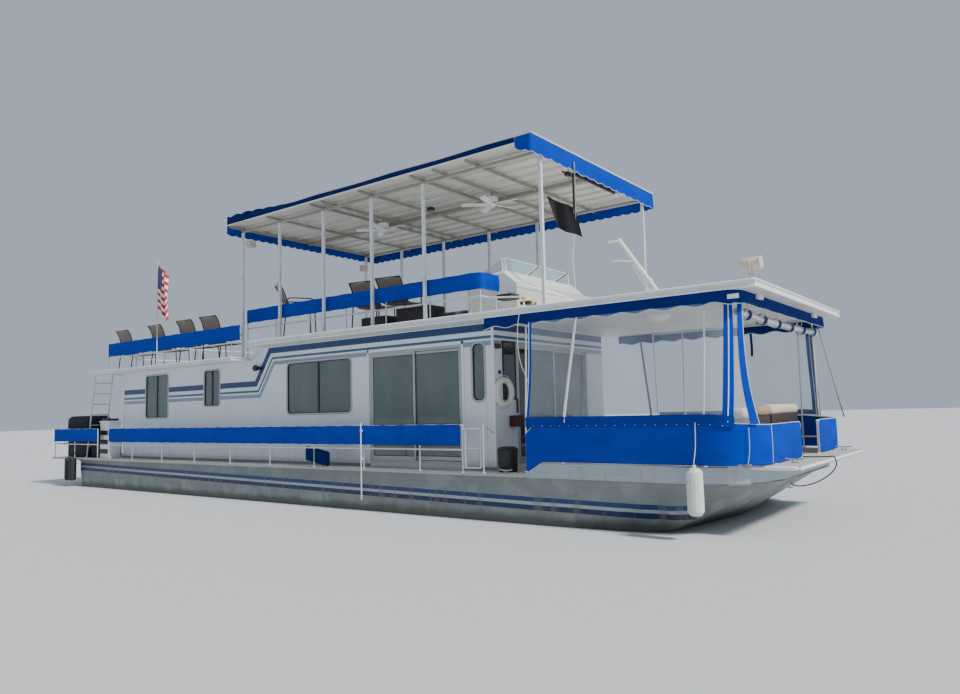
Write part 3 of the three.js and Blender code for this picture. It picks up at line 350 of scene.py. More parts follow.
@dataclass(frozen=True)
class HullMetal(Finish):
    """Bare aluminium plate with painted boot stripes and a stained waterline."""

    upper: Pair = (0.362, 0.432)
    lower: Pair = (0.235, 0.312)
    rise: float = -0.0145
    middle: float = 5.0
    end: float = 8.45
    plate: float = 2.44

    def paint(self, graph: Graph) -> None:
        """Builds the plate.

        Args:
            graph: The material's nodes.
        """
        x, _, z = graph.axes()
        brushed = graph.noise(26.0, 4.0, graph.stretched((0.12, 0.12, 6.0)))
        patch = graph.noise(2.6, 4.0)
        swirl = graph.noise(34.0, 3.0)
        base = graph.blend(brushed, (0.150, 0.175, 0.180), (0.270, 0.300, 0.300))
        base = graph.blend(patch.above(0.56, 0.12) * 0.4, base, (0.36, 0.39, 0.39))
        high = z - (x - self.middle) * self.rise
        run = 1.0 - x.above(self.end, 0.03)
        upper = high.inside(*self.upper, 0.003) * run
        lower = high.inside(*self.lower, 0.003) * run
        light = high.inside(self.lower[1], self.upper[0], 0.003) * run
        base = graph.blend(light * 0.6, base, (0.46, 0.52, 0.58))
        base = graph.blend(upper, base, (0.003, 0.028, 0.13))
        base = graph.blend(lower, base, (0.002, 0.014, 0.070))
        streak = graph.noise(7.0, 4.0, graph.stretched((1.0, 1.0, 0.07)))
        runs = streak.above(0.58, 0.08) * (1.0 - z.above(0.5, 0.3)) * 0.45
        base = graph.blend(runs, base, (0.17, 0.16, 0.13))
        slime = (1.0 - (z + patch * 0.12).above(0.19, 0.06)) * 0.75
        base = graph.blend(slime, base, (0.055, 0.06, 0.045))
        seam = 1.0 - x.repeated(self.plate).above(0.006, 0.004)
        paint = (upper + lower).least(1.0)
        graph.dress(
            height=swirl * 0.25 + brushed * 0.3 + seam * 0.5, depth=0.0009, Base_Color=base,
            Metallic=(1.0 - paint) * (1.0 - slime) * 0.45,
            Roughness=0.50 + patch * 0.16 - paint * 0.1,
        )


@dataclass(frozen=True)
class DeckPaint(Finish):
    """Pale non-skid deck paint, scuffed where people walk, with painted shade on its faces below the deck's
    edge.
    """

    colour: Colour = (0.52, 0.50, 0.45)

    def paint(self, graph: Graph) -> None:
        """Builds the deck.

        Args:
            graph: The material's nodes.
        """
        _, _, z = graph.axes()
        grit = graph.noise(420.0, 2.0)
        scuff = graph.noise(1.7, 5.0)
        tint = graph.blend(scuff.above(0.55, 0.15) * 0.5, self.colour, shade(self.colour, 0.6))
        # Painted shade: the faces below Z 0.68, under the deck's edge, are darkened
        under = 1.0 - z.above(0.68, 0.01)
        tint = graph.blend(under * 0.5, tint, (0.20, 0.20, 0.19))
        graph.dress(height=grit, depth=0.0015, Base_Color=tint, Roughness=0.82 - scuff * 0.1)


@dataclass(frozen=True)
class BowPlate(Finish):
    """The raised bow: bright scuffed aluminium sides under a painted deck that ramps up to it."""

    colour: Colour = (0.52, 0.50, 0.45)
    rise: float = 0.613

    def paint(self, graph: Graph) -> None:
        """Builds both surfaces.

        Args:
            graph: The material's nodes.
        """
        x, _, z = graph.axes()
        patch = graph.noise(2.6, 4.0)
        brushed = graph.noise(26.0, 4.0, graph.stretched((0.12, 0.12, 6.0)))
        grit = graph.noise(420.0, 2.0)
        floor = ((x - RAMP[0]) * self.rise + DECK_Z).least(BOW_Z)
        deck = (z - floor).above(-0.006, 0.003)
        silver = graph.blend(brushed * 0.6 + patch * 0.4, (0.22, 0.27, 0.31), (0.52, 0.57, 0.61))
        rust = graph.noise(7.0, 4.0, graph.stretched((1.0, 1.0, 0.3))).above(0.62, 0.06) * 0.35
        silver = graph.blend(rust, silver, (0.26, 0.23, 0.18))
        walked = graph.blend(patch.above(0.55, 0.15) * 0.5, self.colour, shade(self.colour, 0.6))
        graph.dress(
            height=grit * deck + brushed * (1.0 - deck) * 0.4, depth=0.0012,
            Base_Color=graph.blend(deck, silver, walked), Metallic=(1.0 - deck) * 0.6,
            Roughness=deck * 0.45 + patch * 0.1 + 0.32,
        )


@dataclass(frozen=True)
class WallPaint(Finish):
    """White wall panels with their band of stripes, joints and rain streaks."""

    face: Face = Face.SIDE
    # The white's faint blue tint is painted sky light: the blue cast of the shaded side
    white: Colour = (0.76, 0.81, 0.88)
    navy: Colour = (0.006, 0.036, 0.150)
    teal: Colour = (0.024, 0.105, 0.190)
    grey: Colour = (0.250, 0.300, 0.370)
    bands: tuple[Pair, ...] = ((0.0, 0.125), (0.205, 0.252), (0.292, 0.372))
    low_top: float = 2.497
    high_top: float = 3.186
    step: float = 1.43
    panel: float = 1.22

    def paint(self, graph: Graph) -> None:
        """Builds the wall.

        Args:
            graph: The material's nodes.
        """
        x, y, z = graph.axes()
        along = x if self.face is Face.SIDE else y
        lower = self.low_top - z
        upper = self.high_top - z
        if self.face is Face.AFT:
            below = lower
        elif self.face is Face.FORE:
            below = upper
        else:
            slope = (x + self.step) * 0.816 - (z - self.low_top) * 0.578
            below = lower.most(slope).least(upper)
        cloud = graph.noise(1.3, 4.0)
        base = graph.blend(cloud, self.white, shade(self.white, 0.93))
        for colour, band in zip((self.navy, self.teal, self.grey), self.bands):
            base = graph.blend(below.inside(*band, 0.003), base, colour)
        joint = 1.0 - along.repeated(self.panel).above(0.004, 0.003)
        base = graph.blend(joint * 0.35, base, (0.25, 0.28, 0.32))
        drip = graph.noise(9.0, 4.0, graph.stretched((1.0, 1.0, 0.05)))
        stain = drip.above(0.62, 0.08) * (1.0 - z.above(1.3, 0.6)) * 0.25
        base = graph.blend(stain, base, (0.42, 0.40, 0.34))
        foot = (1.0 - z.above(0.86, 0.05)) * 0.35
        base = graph.blend(foot, base, (0.30, 0.32, 0.33))
        wave = graph.noise(2.2, 2.0)
        graph.dress(
            height=wave * 0.6 - joint, depth=0.003, Base_Color=base, Roughness=0.30 + cloud * 0.16,
            Coat_Weight=0.25, Coat_Roughness=0.15,
        )


@dataclass(frozen=True)
class RoofPaint(Finish):
    """Painted roof sheet: weathered on top, panelled on the soffit."""

    colour: Colour = (0.78, 0.78, 0.75)
    pitch: float = 1.22
    rib: float = 0.61

    def paint(self, graph: Graph) -> None:
        """Builds the roof.

        Args:
            graph: The material's nodes.
        """
        x, y, _ = graph.axes()
        cloud = graph.noise(1.1, 6.0)
        drip = graph.noise(6.0, 4.0, graph.stretched((1.0, 0.25, 0.2)))
        seam = 1.0 - x.repeated(self.pitch).above(0.005, 0.003)
        rib = 1.0 - y.repeated(self.rib).above(0.005, 0.004)
        lines = seam.most(rib * 0.7)
        tint = graph.blend(cloud.above(0.5, 0.2) * 0.35, self.colour, shade(self.colour, 0.72))
        tint = graph.blend(drip.above(0.62, 0.1) * 0.3, tint, (0.36, 0.35, 0.31))
        tint = graph.blend(lines * 0.4, tint, (0.3, 0.3, 0.29))
        graph.dress(height=1.0 - lines, depth=0.002, Base_Color=tint, Roughness=0.45 + cloud * 0.2)


@dataclass(frozen=True)
class Canvas(Finish):
    """Woven canvas with turned hems, cross seams, slack wrinkles with painted shade in them, and fading."""

    height: float = 0.35
    colour: Colour = (0.000, 0.026, 0.32)
    faded: Colour = (0.000, 0.058, 0.50)
    seam_pitch: float = 1.349
    snaps: float = 0.0

    def paint(self, graph: Graph) -> None:
        """Builds the canvas.

        Args:
            graph: The material's nodes.
        """
        along, up = graph.cloth_axes()
        spot = graph.cloth_place()
        warp = (along.repeated(0.0035) * 280.0).least(1.0)
        weft = (up.repeated(0.0035) * 280.0).least(1.0)
        weave = warp * 0.5 + weft * 0.5
        stretched = graph.value("ShaderNodeMapping", {}, {"Vector": spot, "Scale": (0.55, 1.5, 1.0)})
        slack = graph.noise(3.2, 3.0, stretched)
        creases = graph.noise(11.0, 2.0, spot)
        edge = (up.least(self.height - up)).absolute()
        hem = 1.0 - edge.above(0.024, 0.002)
        thread = edge.inside(0.0195, 0.0225, 0.0006)
        seam = 1.0 - along.repeated(self.seam_pitch).above(0.010, 0.002)
        # Lighter in broad random patches, and a little lighter towards the cloth's upper edge
        fade = graph.noise(0.9, 3.0, spot) * 0.75 + (up / self.height) * 0.15
        tint = graph.blend(fade.least(1.0), self.colour, self.faded)
        # Painted shade: the cloth is darkened along its slack folds
        tint = graph.blend(slack.above(0.6, 0.15) * 0.3, tint, shade(self.colour, 0.6))
        tint = graph.blend(thread * 0.35, tint, (0.10, 0.25, 0.55))
        tint = graph.blend((hem * 0.2).most(seam * 0.25), tint, shade(self.colour, 0.5))
        if self.snaps:
            reach = (along.repeated(0.15) ** 2.0 + (up - self.snaps) ** 2.0) ** 0.5
            stud = 1.0 - reach.above(0.006, 0.002)
            tint = graph.blend(stud, tint, (0.55, 0.58, 0.62))
        graph.dress(
            height=slack * 0.62 + creases * 0.1 + (hem + seam).least(1.0) * 0.1 + weave * 0.03, depth=0.02,
            Base_Color=tint, Roughness=0.80 + weave * 0.12, Specular_IOR_Level=0.12,
        )


@dataclass(frozen=True)
class ClearSheet(Finish):
    """Clear flexible vinyl: slightly milky, rippled and scratched."""

    cloud: float = 0.05

    def paint(self, graph: Graph) -> None:
        """Builds the vinyl.

        Args:
            graph: The material's nodes.
        """
        spot = graph.cloth_place()
        ripple = graph.noise(2.6, 2.0, spot)
        scratch = graph.noise(40.0, 3.0, spot)
        haze = graph.noise(1.4, 4.0, spot)
        graph.dress(
            height=ripple + scratch * 0.015, depth=0.03, Base_Color=(0.74, 0.82, 0.90),
            Roughness=0.08 + haze * 0.08, Alpha=haze * 0.12 + self.cloud, IOR=1.5,
        )


@dataclass(frozen=True)
class TintedGlass(Finish):
    """Tinted window glass, faintly smeared and a little clearer higher up."""

    colour: Colour = (0.10, 0.13, 0.13)
    cover: float = 0.72

    def paint(self, graph: Graph) -> None:
        """Builds the glass.

        Args:
            graph: The material's nodes.
        """
        _, _, z = graph.axes()
        smear = graph.noise(1.8, 4.0, graph.stretched((1.0, 1.0, 0.4)))
        wave = graph.noise(0.8, 1.0)
        tint = graph.blend(smear, self.colour, shade(self.colour, 1.8))
        graph.dress(
            height=wave, depth=0.004, Base_Color=tint, Roughness=0.03 + smear * 0.05,
            Alpha=(self.cover + smear * 0.16 - (z - 2.0) * 0.02).least(1.0),
            Coat_Weight=0.6, Coat_Roughness=0.03,
        )


@dataclass(frozen=True)
class Sling(Finish):
    """Open-weave sling cloth of a deck chair."""

    colour: Colour = (0.30, 0.24, 0.18)

    def paint(self, graph: Graph) -> None:
        """Builds the mesh cloth.

        Args:
            graph: The material's nodes.
        """
        along, up = graph.cloth_axes()
        grid = (along.repeated(0.004) * 300.0).least(1.0) * (up.repeated(0.004) * 300.0).least(1.0)
        stripe = along.repeated(0.06).above(0.012, 0.002)
        tint = graph.blend(stripe, shade(self.colour, 0.55), self.colour)
        graph.dress(height=grid, depth=0.001, Base_Color=tint, Roughness=0.8, Alpha=0.82 + grid * 0.18)


@dataclass(frozen=True)
class Bunting(Finish):
    """Flag cloth with bars along it and a plain corner field."""

    bars: int = 13
    height: float = 1.0
    width: float = 1.5
    bar: Colour = (0.52, 0.012, 0.02)
    ground: Colour = (0.82, 0.80, 0.78)
    corner: Colour = (0.01, 0.022, 0.14)

    def paint(self, graph: Graph) -> None:
        """Builds the flag cloth.

        Args:
            graph: The material's nodes.
        """
        along, up = graph.cloth_axes()
        weave = graph.noise(900.0, 1.0)
        step = graph.math("FLOOR", up / self.height * self.bars, 0.0)
        odd = graph.math("MODULO", step, 2.0)
        tint = graph.blend(odd, self.bar, self.ground)
        union = (1.0 - along.above(self.width * 0.4, 0.002)) * up.above(self.height * 6.0 / 13.0, 0.002)
        tint = graph.blend(union, tint, self.corner)
        graph.dress(height=weave, depth=0.0006, Base_Color=tint, Roughness=0.75, Sheen_Weight=0.2)


@dataclass(frozen=True)
class Braid(Finish):
    """Braided rope, with its strands running round it along the piece's UV map and painted shade in the
    grooves between them.
    """

    colour: Colour = (0.7, 0.7, 0.66)

    def paint(self, graph: Graph) -> None:
        """Builds the rope.

        Args:
            graph: The material's nodes.
        """
        along, round_it = graph.cloth_axes()
        first = (along * 60.0 + round_it * 12.0).repeated(1.0)
        second = (along * 60.0 - round_it * 12.0).repeated(1.0)
        strand = first.most(second) * 2.0
        # The grooves between the strands are darkened: painted shade
        tint = graph.blend(strand.least(1.0), shade(self.colour, 0.5), self.colour)
        graph.dress(height=strand, depth=0.0012, Base_Color=tint, Roughness=0.85, Sheen_Weight=0.2)


@dataclass(frozen=True)
class FairingCoat(Finish):
    """Glossy gelcoat with two blue-grey lines that run down along the nose: painted shade where two grooves
    run.
    """

    colour: Colour = (0.84, 0.85, 0.82)
    # The lines' colour is painted shade for the two grooves
    line: Colour = (0.26, 0.36, 0.46)
    start: float = 5.06
    rows: tuple[Pair, ...] = ((3.955, 0.245), (3.866, 0.305))

    def paint(self, graph: Graph) -> None:
        """Builds the gelcoat.

        Args:
            graph: The material's nodes.
        """
        x, _, z = graph.axes()
        cloud = graph.noise(2.0, 5.0)
        tint = graph.blend(cloud.above(0.6, 0.15) * 0.2, self.colour, shade(self.colour, 0.7))
        for height, fall in self.rows:
            # Painted shade along each groove's line
            stripe = (z + (x - 5.08) * fall).inside(height - 0.009, height + 0.009, 0.002)
            tint = graph.blend(stripe * x.above(self.start, 0.01) * 0.8, tint, self.line)
        graph.dress(
            height=graph.noise(30.0, 2.0), depth=0.0004, Base_Color=tint, Roughness=0.2 + cloud * 0.14,
            Coat_Weight=0.5, Coat_Roughness=0.08,
        )


@dataclass(frozen=True)
class PostPaint(Finish):
    """White posts under a beam painted grey-brown: painted shade on an off-white beam, with a weathered
    mottle over both.
    """

    post: Colour = (0.70, 0.73, 0.75)
    # The beam's grey-brown is painted shade; the beam itself is off-white
    beam: Colour = (0.30, 0.28, 0.25)
    joint: float = 5.853

    def paint(self, graph: Graph) -> None:
        """Builds both paints.

        Args:
            graph: The material's nodes.
        """
        _, _, z = graph.axes()
        cloud = graph.noise(5.0, 4.0)
        # Painted shade: the beam above the joint takes the grey-brown
        tint = graph.blend(z.above(self.joint, 0.002), self.post, self.beam)
        tint = graph.blend(cloud.above(0.6, 0.12) * 0.25, tint, (0.22, 0.21, 0.20))
        peel = graph.noise(180.0, 2.0)
        graph.dress(height=peel, depth=0.0003, Base_Color=tint, Roughness=0.36 + cloud * 0.2)


@dataclass(frozen=True)
class Steel(Finish):
    """Stainless or cast metal with a fine brushed grain."""

    colour: Colour = (0.55, 0.56, 0.57)
    rough: float = 0.3

    def paint(self, graph: Graph) -> None:
        """Builds the metal.

        Args:
            graph: The material's nodes.
        """
        grain = graph.noise(160.0, 3.0, graph.stretched((1.0, 0.1, 1.0)))
        stain = graph.noise(8.0, 4.0)
        tint = graph.blend(stain.above(0.6, 0.12) * 0.4, self.colour, shade(self.colour, 0.55))
        rough = stain * 0.2 + self.rough
        graph.dress(height=grain, depth=0.0002, Base_Color=tint, Metallic=0.9, Roughness=rough)


HULL_PLATE = HullMetal("hull_plate")
DECK = DeckPaint("deck_paint")
WALL_SIDE = WallPaint("wall_side_paint", face=Face.SIDE)
WALL_FORE = WallPaint("wall_fore_paint", face=Face.FORE)
WALL_AFT = WallPaint("wall_aft_paint", face=Face.AFT)
ROOF = RoofPaint("roof_paint")
CANOPY_ROOF = RoofPaint("canopy_paint", colour=(0.70, 0.68, 0.62), pitch=3.05, rib=0.20)
BOW_PLATE = BowPlate("bow_plate")
WHITE_TRIM = Enamel("white_trim", colour=(0.80, 0.83, 0.86), rough=0.35)
PALE_PIPE = Enamel("pale_pipe", colour=(0.62, 0.66, 0.69), rough=0.38, metal=0.25, grime=0.3, scale=5.0)
WHITE_POST = Enamel("white_post", colour=(0.70, 0.73, 0.75), rough=0.36, grime=0.2)
GELCOAT = Enamel("gelcoat", colour=(0.84, 0.84, 0.80), rough=0.22, coat=0.5, grime=0.08, scale=2.0)
FAIRING_COAT = FairingCoat("fairing_coat")
# The canopy's beams are off-white; this grey-brown is painted shade, with a random grime mottle
SHADED_BEAM = Enamel("beam_paint", colour=(0.30, 0.28, 0.25), rough=0.6, grime=0.3, scale=6.0)
CANOPY_POST = PostPaint("canopy_post_paint")
AMBER = Enamel("amber_lamp", colour=(0.75, 0.52, 0.06), rough=0.25, grime=0.0)
DARK_RUBBER = Enamel("dark_rubber", colour=(0.012, 0.012, 0.013), rough=0.55, grime=0.0)
DARK_PLASTIC = Enamel("dark_plastic", colour=(0.016, 0.017, 0.019), rough=0.42, grime=0.0)
DARK_PAINT = Enamel("dark_gloss_paint", colour=(0.010, 0.010, 0.012), rough=0.22, coat=0.4)
CREAM_TRIM = Enamel("cream_trim", colour=(0.74, 0.70, 0.62), rough=0.5, grime=0.2)
GREY_TRIM = Enamel("grey_trim", colour=(0.25, 0.27, 0.28), rough=0.45, metal=0.3)
FRAME_METAL = Enamel("window_frame_metal", colour=(0.44, 0.46, 0.47), rough=0.4, metal=0.6, grime=0.2)
TAN_BOX = Enamel("tan_box", colour=(0.60, 0.56, 0.47), rough=0.5)
RED_BOX = Enamel("dark_red_box", colour=(0.06, 0.006, 0.007), rough=0.5)
FOAM = Enamel("ring_foam", colour=(0.80, 0.80, 0.77), rough=0.55, grime=0.3, peel=0.001, scale=12.0)
FENDER_SKIN = Enamel("fender_skin", colour=(0.66, 0.70, 0.68), rough=0.45, grime=0.35, scale=9.0)
GLASS = TintedGlass("tinted_glass")
FRONT_GLASS = TintedGlass("front_glass", colour=(0.035, 0.045, 0.055), cover=0.88)
SCREEN_GLASS = TintedGlass("screen_glass", colour=(0.25, 0.42, 0.42), cover=0.30)
CLEAR = ClearSheet("clear_curtain")
ROLLED_CLEAR = ClearSheet("rolled_curtain", cloud=0.22)
BAND_CANVAS = Canvas("band_canvas", height=0.346)
TALL_CANVAS = Canvas("tall_canvas", height=0.60, seam_pitch=2.7)
HEM_CANVAS = Canvas("hem_canvas", height=0.15, snaps=0.018, seam_pitch=2.7, colour=(0.000, 0.022, 0.25),
                    faded=(0.000, 0.040, 0.36))
VALANCE_CANVAS = Canvas("valance_canvas", height=0.20, seam_pitch=1.6, colour=(0.000, 0.010, 0.13),
                        faded=(0.000, 0.026, 0.24))
SKIRT_CANVAS = Canvas("skirt_canvas", height=0.32, seam_pitch=1.6)
# A darker canvas: the straps' and the bag's colour, and painted shade on the canopy's blown-up skirt strip
DARK_CANVAS = Canvas("dark_canvas", height=0.20, seam_pitch=1.6, colour=(0.000, 0.010, 0.085),
                     faded=(0.000, 0.018, 0.13))
BORDER_CANVAS = Canvas("border_canvas", height=1.6, seam_pitch=9.0)
PIPING = Enamel("pale_piping", colour=(0.50, 0.60, 0.78), rough=0.6)
STEEL = Steel("stainless")
DARK_STEEL = Steel("machine_metal", colour=(0.30, 0.30, 0.31), rough=0.42)
FLAG = Bunting("striped_bunting", height=1.05, width=0.75)
DARK_FLAG = Enamel("dark_bunting", colour=(0.012, 0.013, 0.016), rough=0.8, grime=0.0)
WHITE_ROPE = Braid("white_braid", colour=(0.72, 0.72, 0.68))
WHITE_CORDAGE = Enamel("white_cordage", colour=(0.75, 0.75, 0.72), rough=0.8)
TAN_CORDAGE = Enamel("tan_cordage", colour=(0.42, 0.27, 0.12), rough=0.8)
DARK_ROPE = Braid("dark_braid", colour=(0.02, 0.022, 0.028))
TAN_SLING = Sling("tan_sling")
CREAM_PAD = Enamel("cream_pad", colour=(0.60, 0.55, 0.47), rough=0.7, grime=0.3, peel=0.002, scale=9.0)
TAN_PAD = Enamel("tan_pad", colour=(0.36, 0.27, 0.18), rough=0.75, grime=0.4, peel=0.002, scale=9.0)
GRILL_COVER = Enamel("grill_cover", colour=(0.008, 0.010, 0.020), rough=0.75, peel=0.004, scale=6.0)
SEAT_BASE = Enamel("seat_base", colour=(0.035, 0.025, 0.022), rough=0.6)


# The modelling bench


def deselect() -> None:
    """Leaves nothing selected."""
    bpy.ops.object.select_all(action="DESELECT")


def activate(piece: Piece) -> Piece:
    """Selects one piece alone and makes it active.

    Args:
        piece: The piece.

    Returns:
        The same piece.
    """
    deselect()
    piece.select_set(True)
    bpy.context.view_layer.objects.active = piece
    return piece


def settle(piece: Piece) -> Piece:
    """Moves a piece's place, turn and size into its mesh.

    Args:
        piece: The piece.

    Returns:
        The same piece.
    """
    activate(piece)
    bpy.ops.object.transform_apply(location=True, rotation=True, scale=True)
    return piece


def linked(name: str, data: bpy.types.ID) -> Piece:
    """A new object, in the scene.

    Args:
        name: The object's name.
        data: Its mesh or curve.

    Returns:
        The object.
    """
    made = bpy.data.objects.new(name, data)
    bpy.context.scene.collection.objects.link(made)
    return made


def in_edit(piece: Piece, step: Callable[..., object], **settings: object) -> None:
    """Runs an operator over the whole of a piece's mesh.

    Args:
        piece: The mesh object.
        step: The operator, one that works in edit mode.
        settings: What the operator is called with.
    """
    activate(piece)
    bpy.ops.object.mode_set(mode="EDIT")
    bpy.ops.mesh.select_all(action="SELECT")
    step(**settings)
    bpy.ops.object.mode_set(mode="OBJECT")


def mesh_piece(points: Sequence[Sequence[float]], faces: Sequence[Sequence[int]]) -> Piece:
    """A mesh object from its corners and the corners of each face, by number.

    Args:
        points: The corners.
        faces: The numbers of each face's corners.

    Returns:
        The object.
    """
    mesh = bpy.data.meshes.new("work")
    mesh.from_pydata(points, [], faces)
    return linked("work", mesh)


def box(low: Point, high: Point) -> Piece:
    """A box between two corners.

    Args:
        low: The corner with the smallest coordinates.
        high: The opposite corner.

    Returns:
        The box, with its place in its mesh.
    """
    deselect()
    middle = [(a + b) / 2 for a, b in zip(low, high)]
    bpy.ops.mesh.primitive_cube_add(size=1.0, location=middle)
    made = bpy.context.object
    made.scale = [b - a for a, b in zip(low, high)]
    return settle(made)


def drum(start: Point, end: Point, radius: float, sides: int = 24, tip: float | None = None) -> Piece:
    """A round bar or cone between two points.

    Args:
        start: The middle of the first end.
        end: The middle of the other end.
        radius: The first end's radius.
        sides: How many faces go round it.
        tip: The other end's radius, if it differs.

    Returns:
        The bar, with its place in its mesh.
    """
    deselect()
    a, b = Vector(start), Vector(end)
    turn = (b - a).to_track_quat("Z", "Y").to_euler()
    bpy.ops.mesh.primitive_cone_add(
        vertices=sides, radius1=radius, radius2=radius if tip is None else tip,
        depth=(b - a).length, location=(a + b) / 2, rotation=turn,
    )
    return settle(bpy.context.object)


def hoop(middle: Point, turn: Point, radius: float, tube: float, sides: Pair = (48, 12)) -> Piece:
    """A ring.

    Args:
        middle: Its centre.
        turn: Its turn in radians, from lying flat.
        radius: To the middle of the tube.
        tube: The tube's radius.
        sides: How many faces go round the ring, and round the tube.

    Returns:
        The ring, with its place in its mesh.
    """
    deselect()
    bpy.ops.mesh.primitive_torus_add(
        location=middle, rotation=turn, major_radius=radius, minor_radius=tube,
        major_segments=int(sides[0]), minor_segments=int(sides[1]),
    )
    return settle(bpy.context.object)


def ball(middle: Point, radius: float, squash: Point = (1.0, 1.0, 1.0)) -> Piece:
    """A ball, or an egg where it is squashed.

    Args:
        middle: Its middle.
        radius: Its radius.
        squash: The scale along each axis.

    Returns:
        The ball.
    """
    deselect()
    bpy.ops.mesh.primitive_uv_sphere_add(segments=24, ring_count=14, radius=radius, location=middle)
    made = bpy.context.object
    made.scale = squash
    return settle(made)


def joined(parts: Sequence[Piece]) -> Piece:
    """Joins several meshes into one object.

    Args:
        parts: The meshes.

    Returns:
        The joined object.
    """
    deselect()
    for part in parts:
        part.select_set(True)
    bpy.context.view_layer.objects.active = parts[0]
    if len(parts) > 1:
        bpy.ops.object.join()
    return bpy.context.view_layer.objects.active


def applied(piece: Piece, kind: str, **settings: object) -> Piece:
    """Adds a modifier and applies it.

    Args:
        piece: The mesh object.
        kind: The modifier's type.
        settings: Its properties.

    Returns:
        The same object.
    """
    activate(piece)
    modifier = piece.modifiers.new("work", kind)
    for key, setting in settings.items():
        setattr(modifier, key, setting)
    bpy.ops.object.modifier_apply(modifier=modifier.name)
    return piece


def eased(piece: Piece, width: float, segments: int = 2) -> Piece:
    """Rounds a piece's sharp edges."""
    return applied(piece, "BEVEL", width=width, segments=segments, limit_method="ANGLE", harden_normals=False)


def block(low: Point, high: Point, width: float, segments: int = 2) -> Piece:
    """A box with rounded edges."""
    return eased(box(low, high), width, segments)


def flange(x: float, y: float, z: float) -> Piece:
    """The round foot of a rail post."""
    return drum((x, y, z), (x, y, z + 0.012), 0.034, 20, 0.026)


def smoothed(piece: Piece, angle: float = 40.0) -> Piece:
    """Shades a piece smooth across edges that turn less than an angle.

    Args:
        piece: The piece.
        angle: The angle, in degrees.

    Returns:
        The same piece.
    """
    activate(piece)
    bpy.ops.object.shade_smooth_by_angle(angle=math.radians(angle))
    return piece


def rounded(points: Sequence[Point], radius: float, steps: int = 4) -> list[Point]:
    """A path with its inner corners rounded.

    Args:
        points: The path's corners.
        radius: How far from each corner the bend starts.
        steps: How many straight bits make a bend.

    Returns:
        The path's points.
    """
    spots = [Vector(p) for p in points]
    path = [spots[0]]
    for before, corner, after in zip(spots, spots[1:], spots[2:]):
        reach = min(radius, (before - corner).length / 2, (after - corner).length / 2)
        start = corner + (before - corner).normalized() * reach
        end = corner + (after - corner).normalized() * reach
        for k in range(steps + 1):
            t = k / steps
            path.append(start * (1 - t) ** 2 + corner * 2 * t * (1 - t) + end * t * t)
    path.append(spots[-1])
    return [tuple(p) for p in path]


def pipes(runs: Iterable[Sequence[Point]], radius: float, fine: int = 2) -> Piece:
    """Round pipes along several paths, as one mesh.

    Args:
        runs: The paths.
        radius: The pipes' radius.
        fine: How round they are; a pipe has four times this and four sides.

    Returns:
        The mesh object.
    """
    curve = bpy.data.curves.new("pipes", "CURVE")
    curve.dimensions = "3D"
    curve.bevel_depth = radius
    curve.bevel_resolution = fine
    curve.use_fill_caps = True
    for run in runs:
        spline = curve.splines.new("POLY")
        spline.points.add(len(run) - 1)
        for spot, point in zip(spline.points, run):
            spot.co = (*point, 1.0)
    activate(linked("pipes", curve))
    bpy.ops.object.convert(target="MESH")
    return smoothed(bpy.context.object, 50.0)


def cloth(
    place: Callable[[float, float], Point], size: Pair, grid: tuple[int, int], thickness: float = 0.002,
) -> Piece:
    """A sheet of cloth laid over a function of its own two distances.

    Args:
        place: Gives the point for a distance along and a distance up, in metres.
        size: The cloth's length and height, in metres.
        grid: How many faces it has each way.
        thickness: How thick it is.

    Returns:
        The mesh object, with its distances in the UV map named cloth.
    """
    across, up = grid
    spots = [(size[0] * i / across, size[1] * j / up) for j in range(up + 1) for i in range(across + 1)]
    faces = [
        (r + i, r + i + 1, r + i + across + 2, r + i + across + 1)
        for r in range(0, up * (across + 1), across + 1)
        for i in range(across)
    ]
    made = mesh_piece([place(*spot) for spot in spots], faces)
    layer = made.data.uv_layers.new(name="cloth")
    for loop in made.data.loops:
        layer.data[loop.index].uv = spots[loop.vertex_index]
    return smoothed(applied(made, "SOLIDIFY", thickness=thickness, offset=0.0), 60.0)


class Path:
    """A line through points, read by the distance along it."""

    def __init__(self, points: Sequence[Sequence[float]]) -> None:
        """Measures the line.

        Args:
            points: Its corners, with two or three coordinates.
        """
        self.points = [Vector((*p, 0.0)[:3]) for p in points]
        self.marks = [0.0]
        for a, b in zip(self.points, self.points[1:]):
            self.marks.append(self.marks[-1] + (b - a).length)

    @property
    def length(self) -> float:
        """The line's whole length."""
        return self.marks[-1]

    def at(self, distance: float) -> Vector:
        """The point at a distance along the line.

        Args:
            distance: The distance from its start.

        Returns:
            The point.
        """
        distance = min(max(distance, 0.0), self.length)
        for a, b, low, high in zip(self.points, self.points[1:], self.marks, self.marks[1:]):
            if distance <= high or high == self.length:
                return a.lerp(b, (distance - low) / (high - low))
        return self.points[-1]

    def outward(self, distance: float) -> Vector:
        """The level direction to the right of the line, at a distance along it."""
        ahead = self.at(distance + 0.02) - self.at(distance - 0.02)
        return Vector((ahead.y, -ahead.x, 0.0)).normalized()


def install(
    piece: Piece, name: str, finish: Finish, slot: str, body: str = "root", replaces: Sequence[str] = (),
) -> Piece:
    """Names, paints and seats a finished piece on its body.

    Args:
        piece: The finished mesh object.
        name: Its name.
        finish: What it is painted with.
        slot: The record's material slot; not used.
        body: The body that it rides on.
        replaces: The CAD nodes that it stands for.

    Returns:
        The piece.
    """
    piece.name = name
    piece.data.name = name
    piece.data.materials.clear()
    piece.data.materials.append(finish.material())
    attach(piece, body)
    if replaces:
        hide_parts(*replaces)
    LOG.info("%s: %d faces, rides on %s", name, len(piece.data.polygons), body)
    return piece


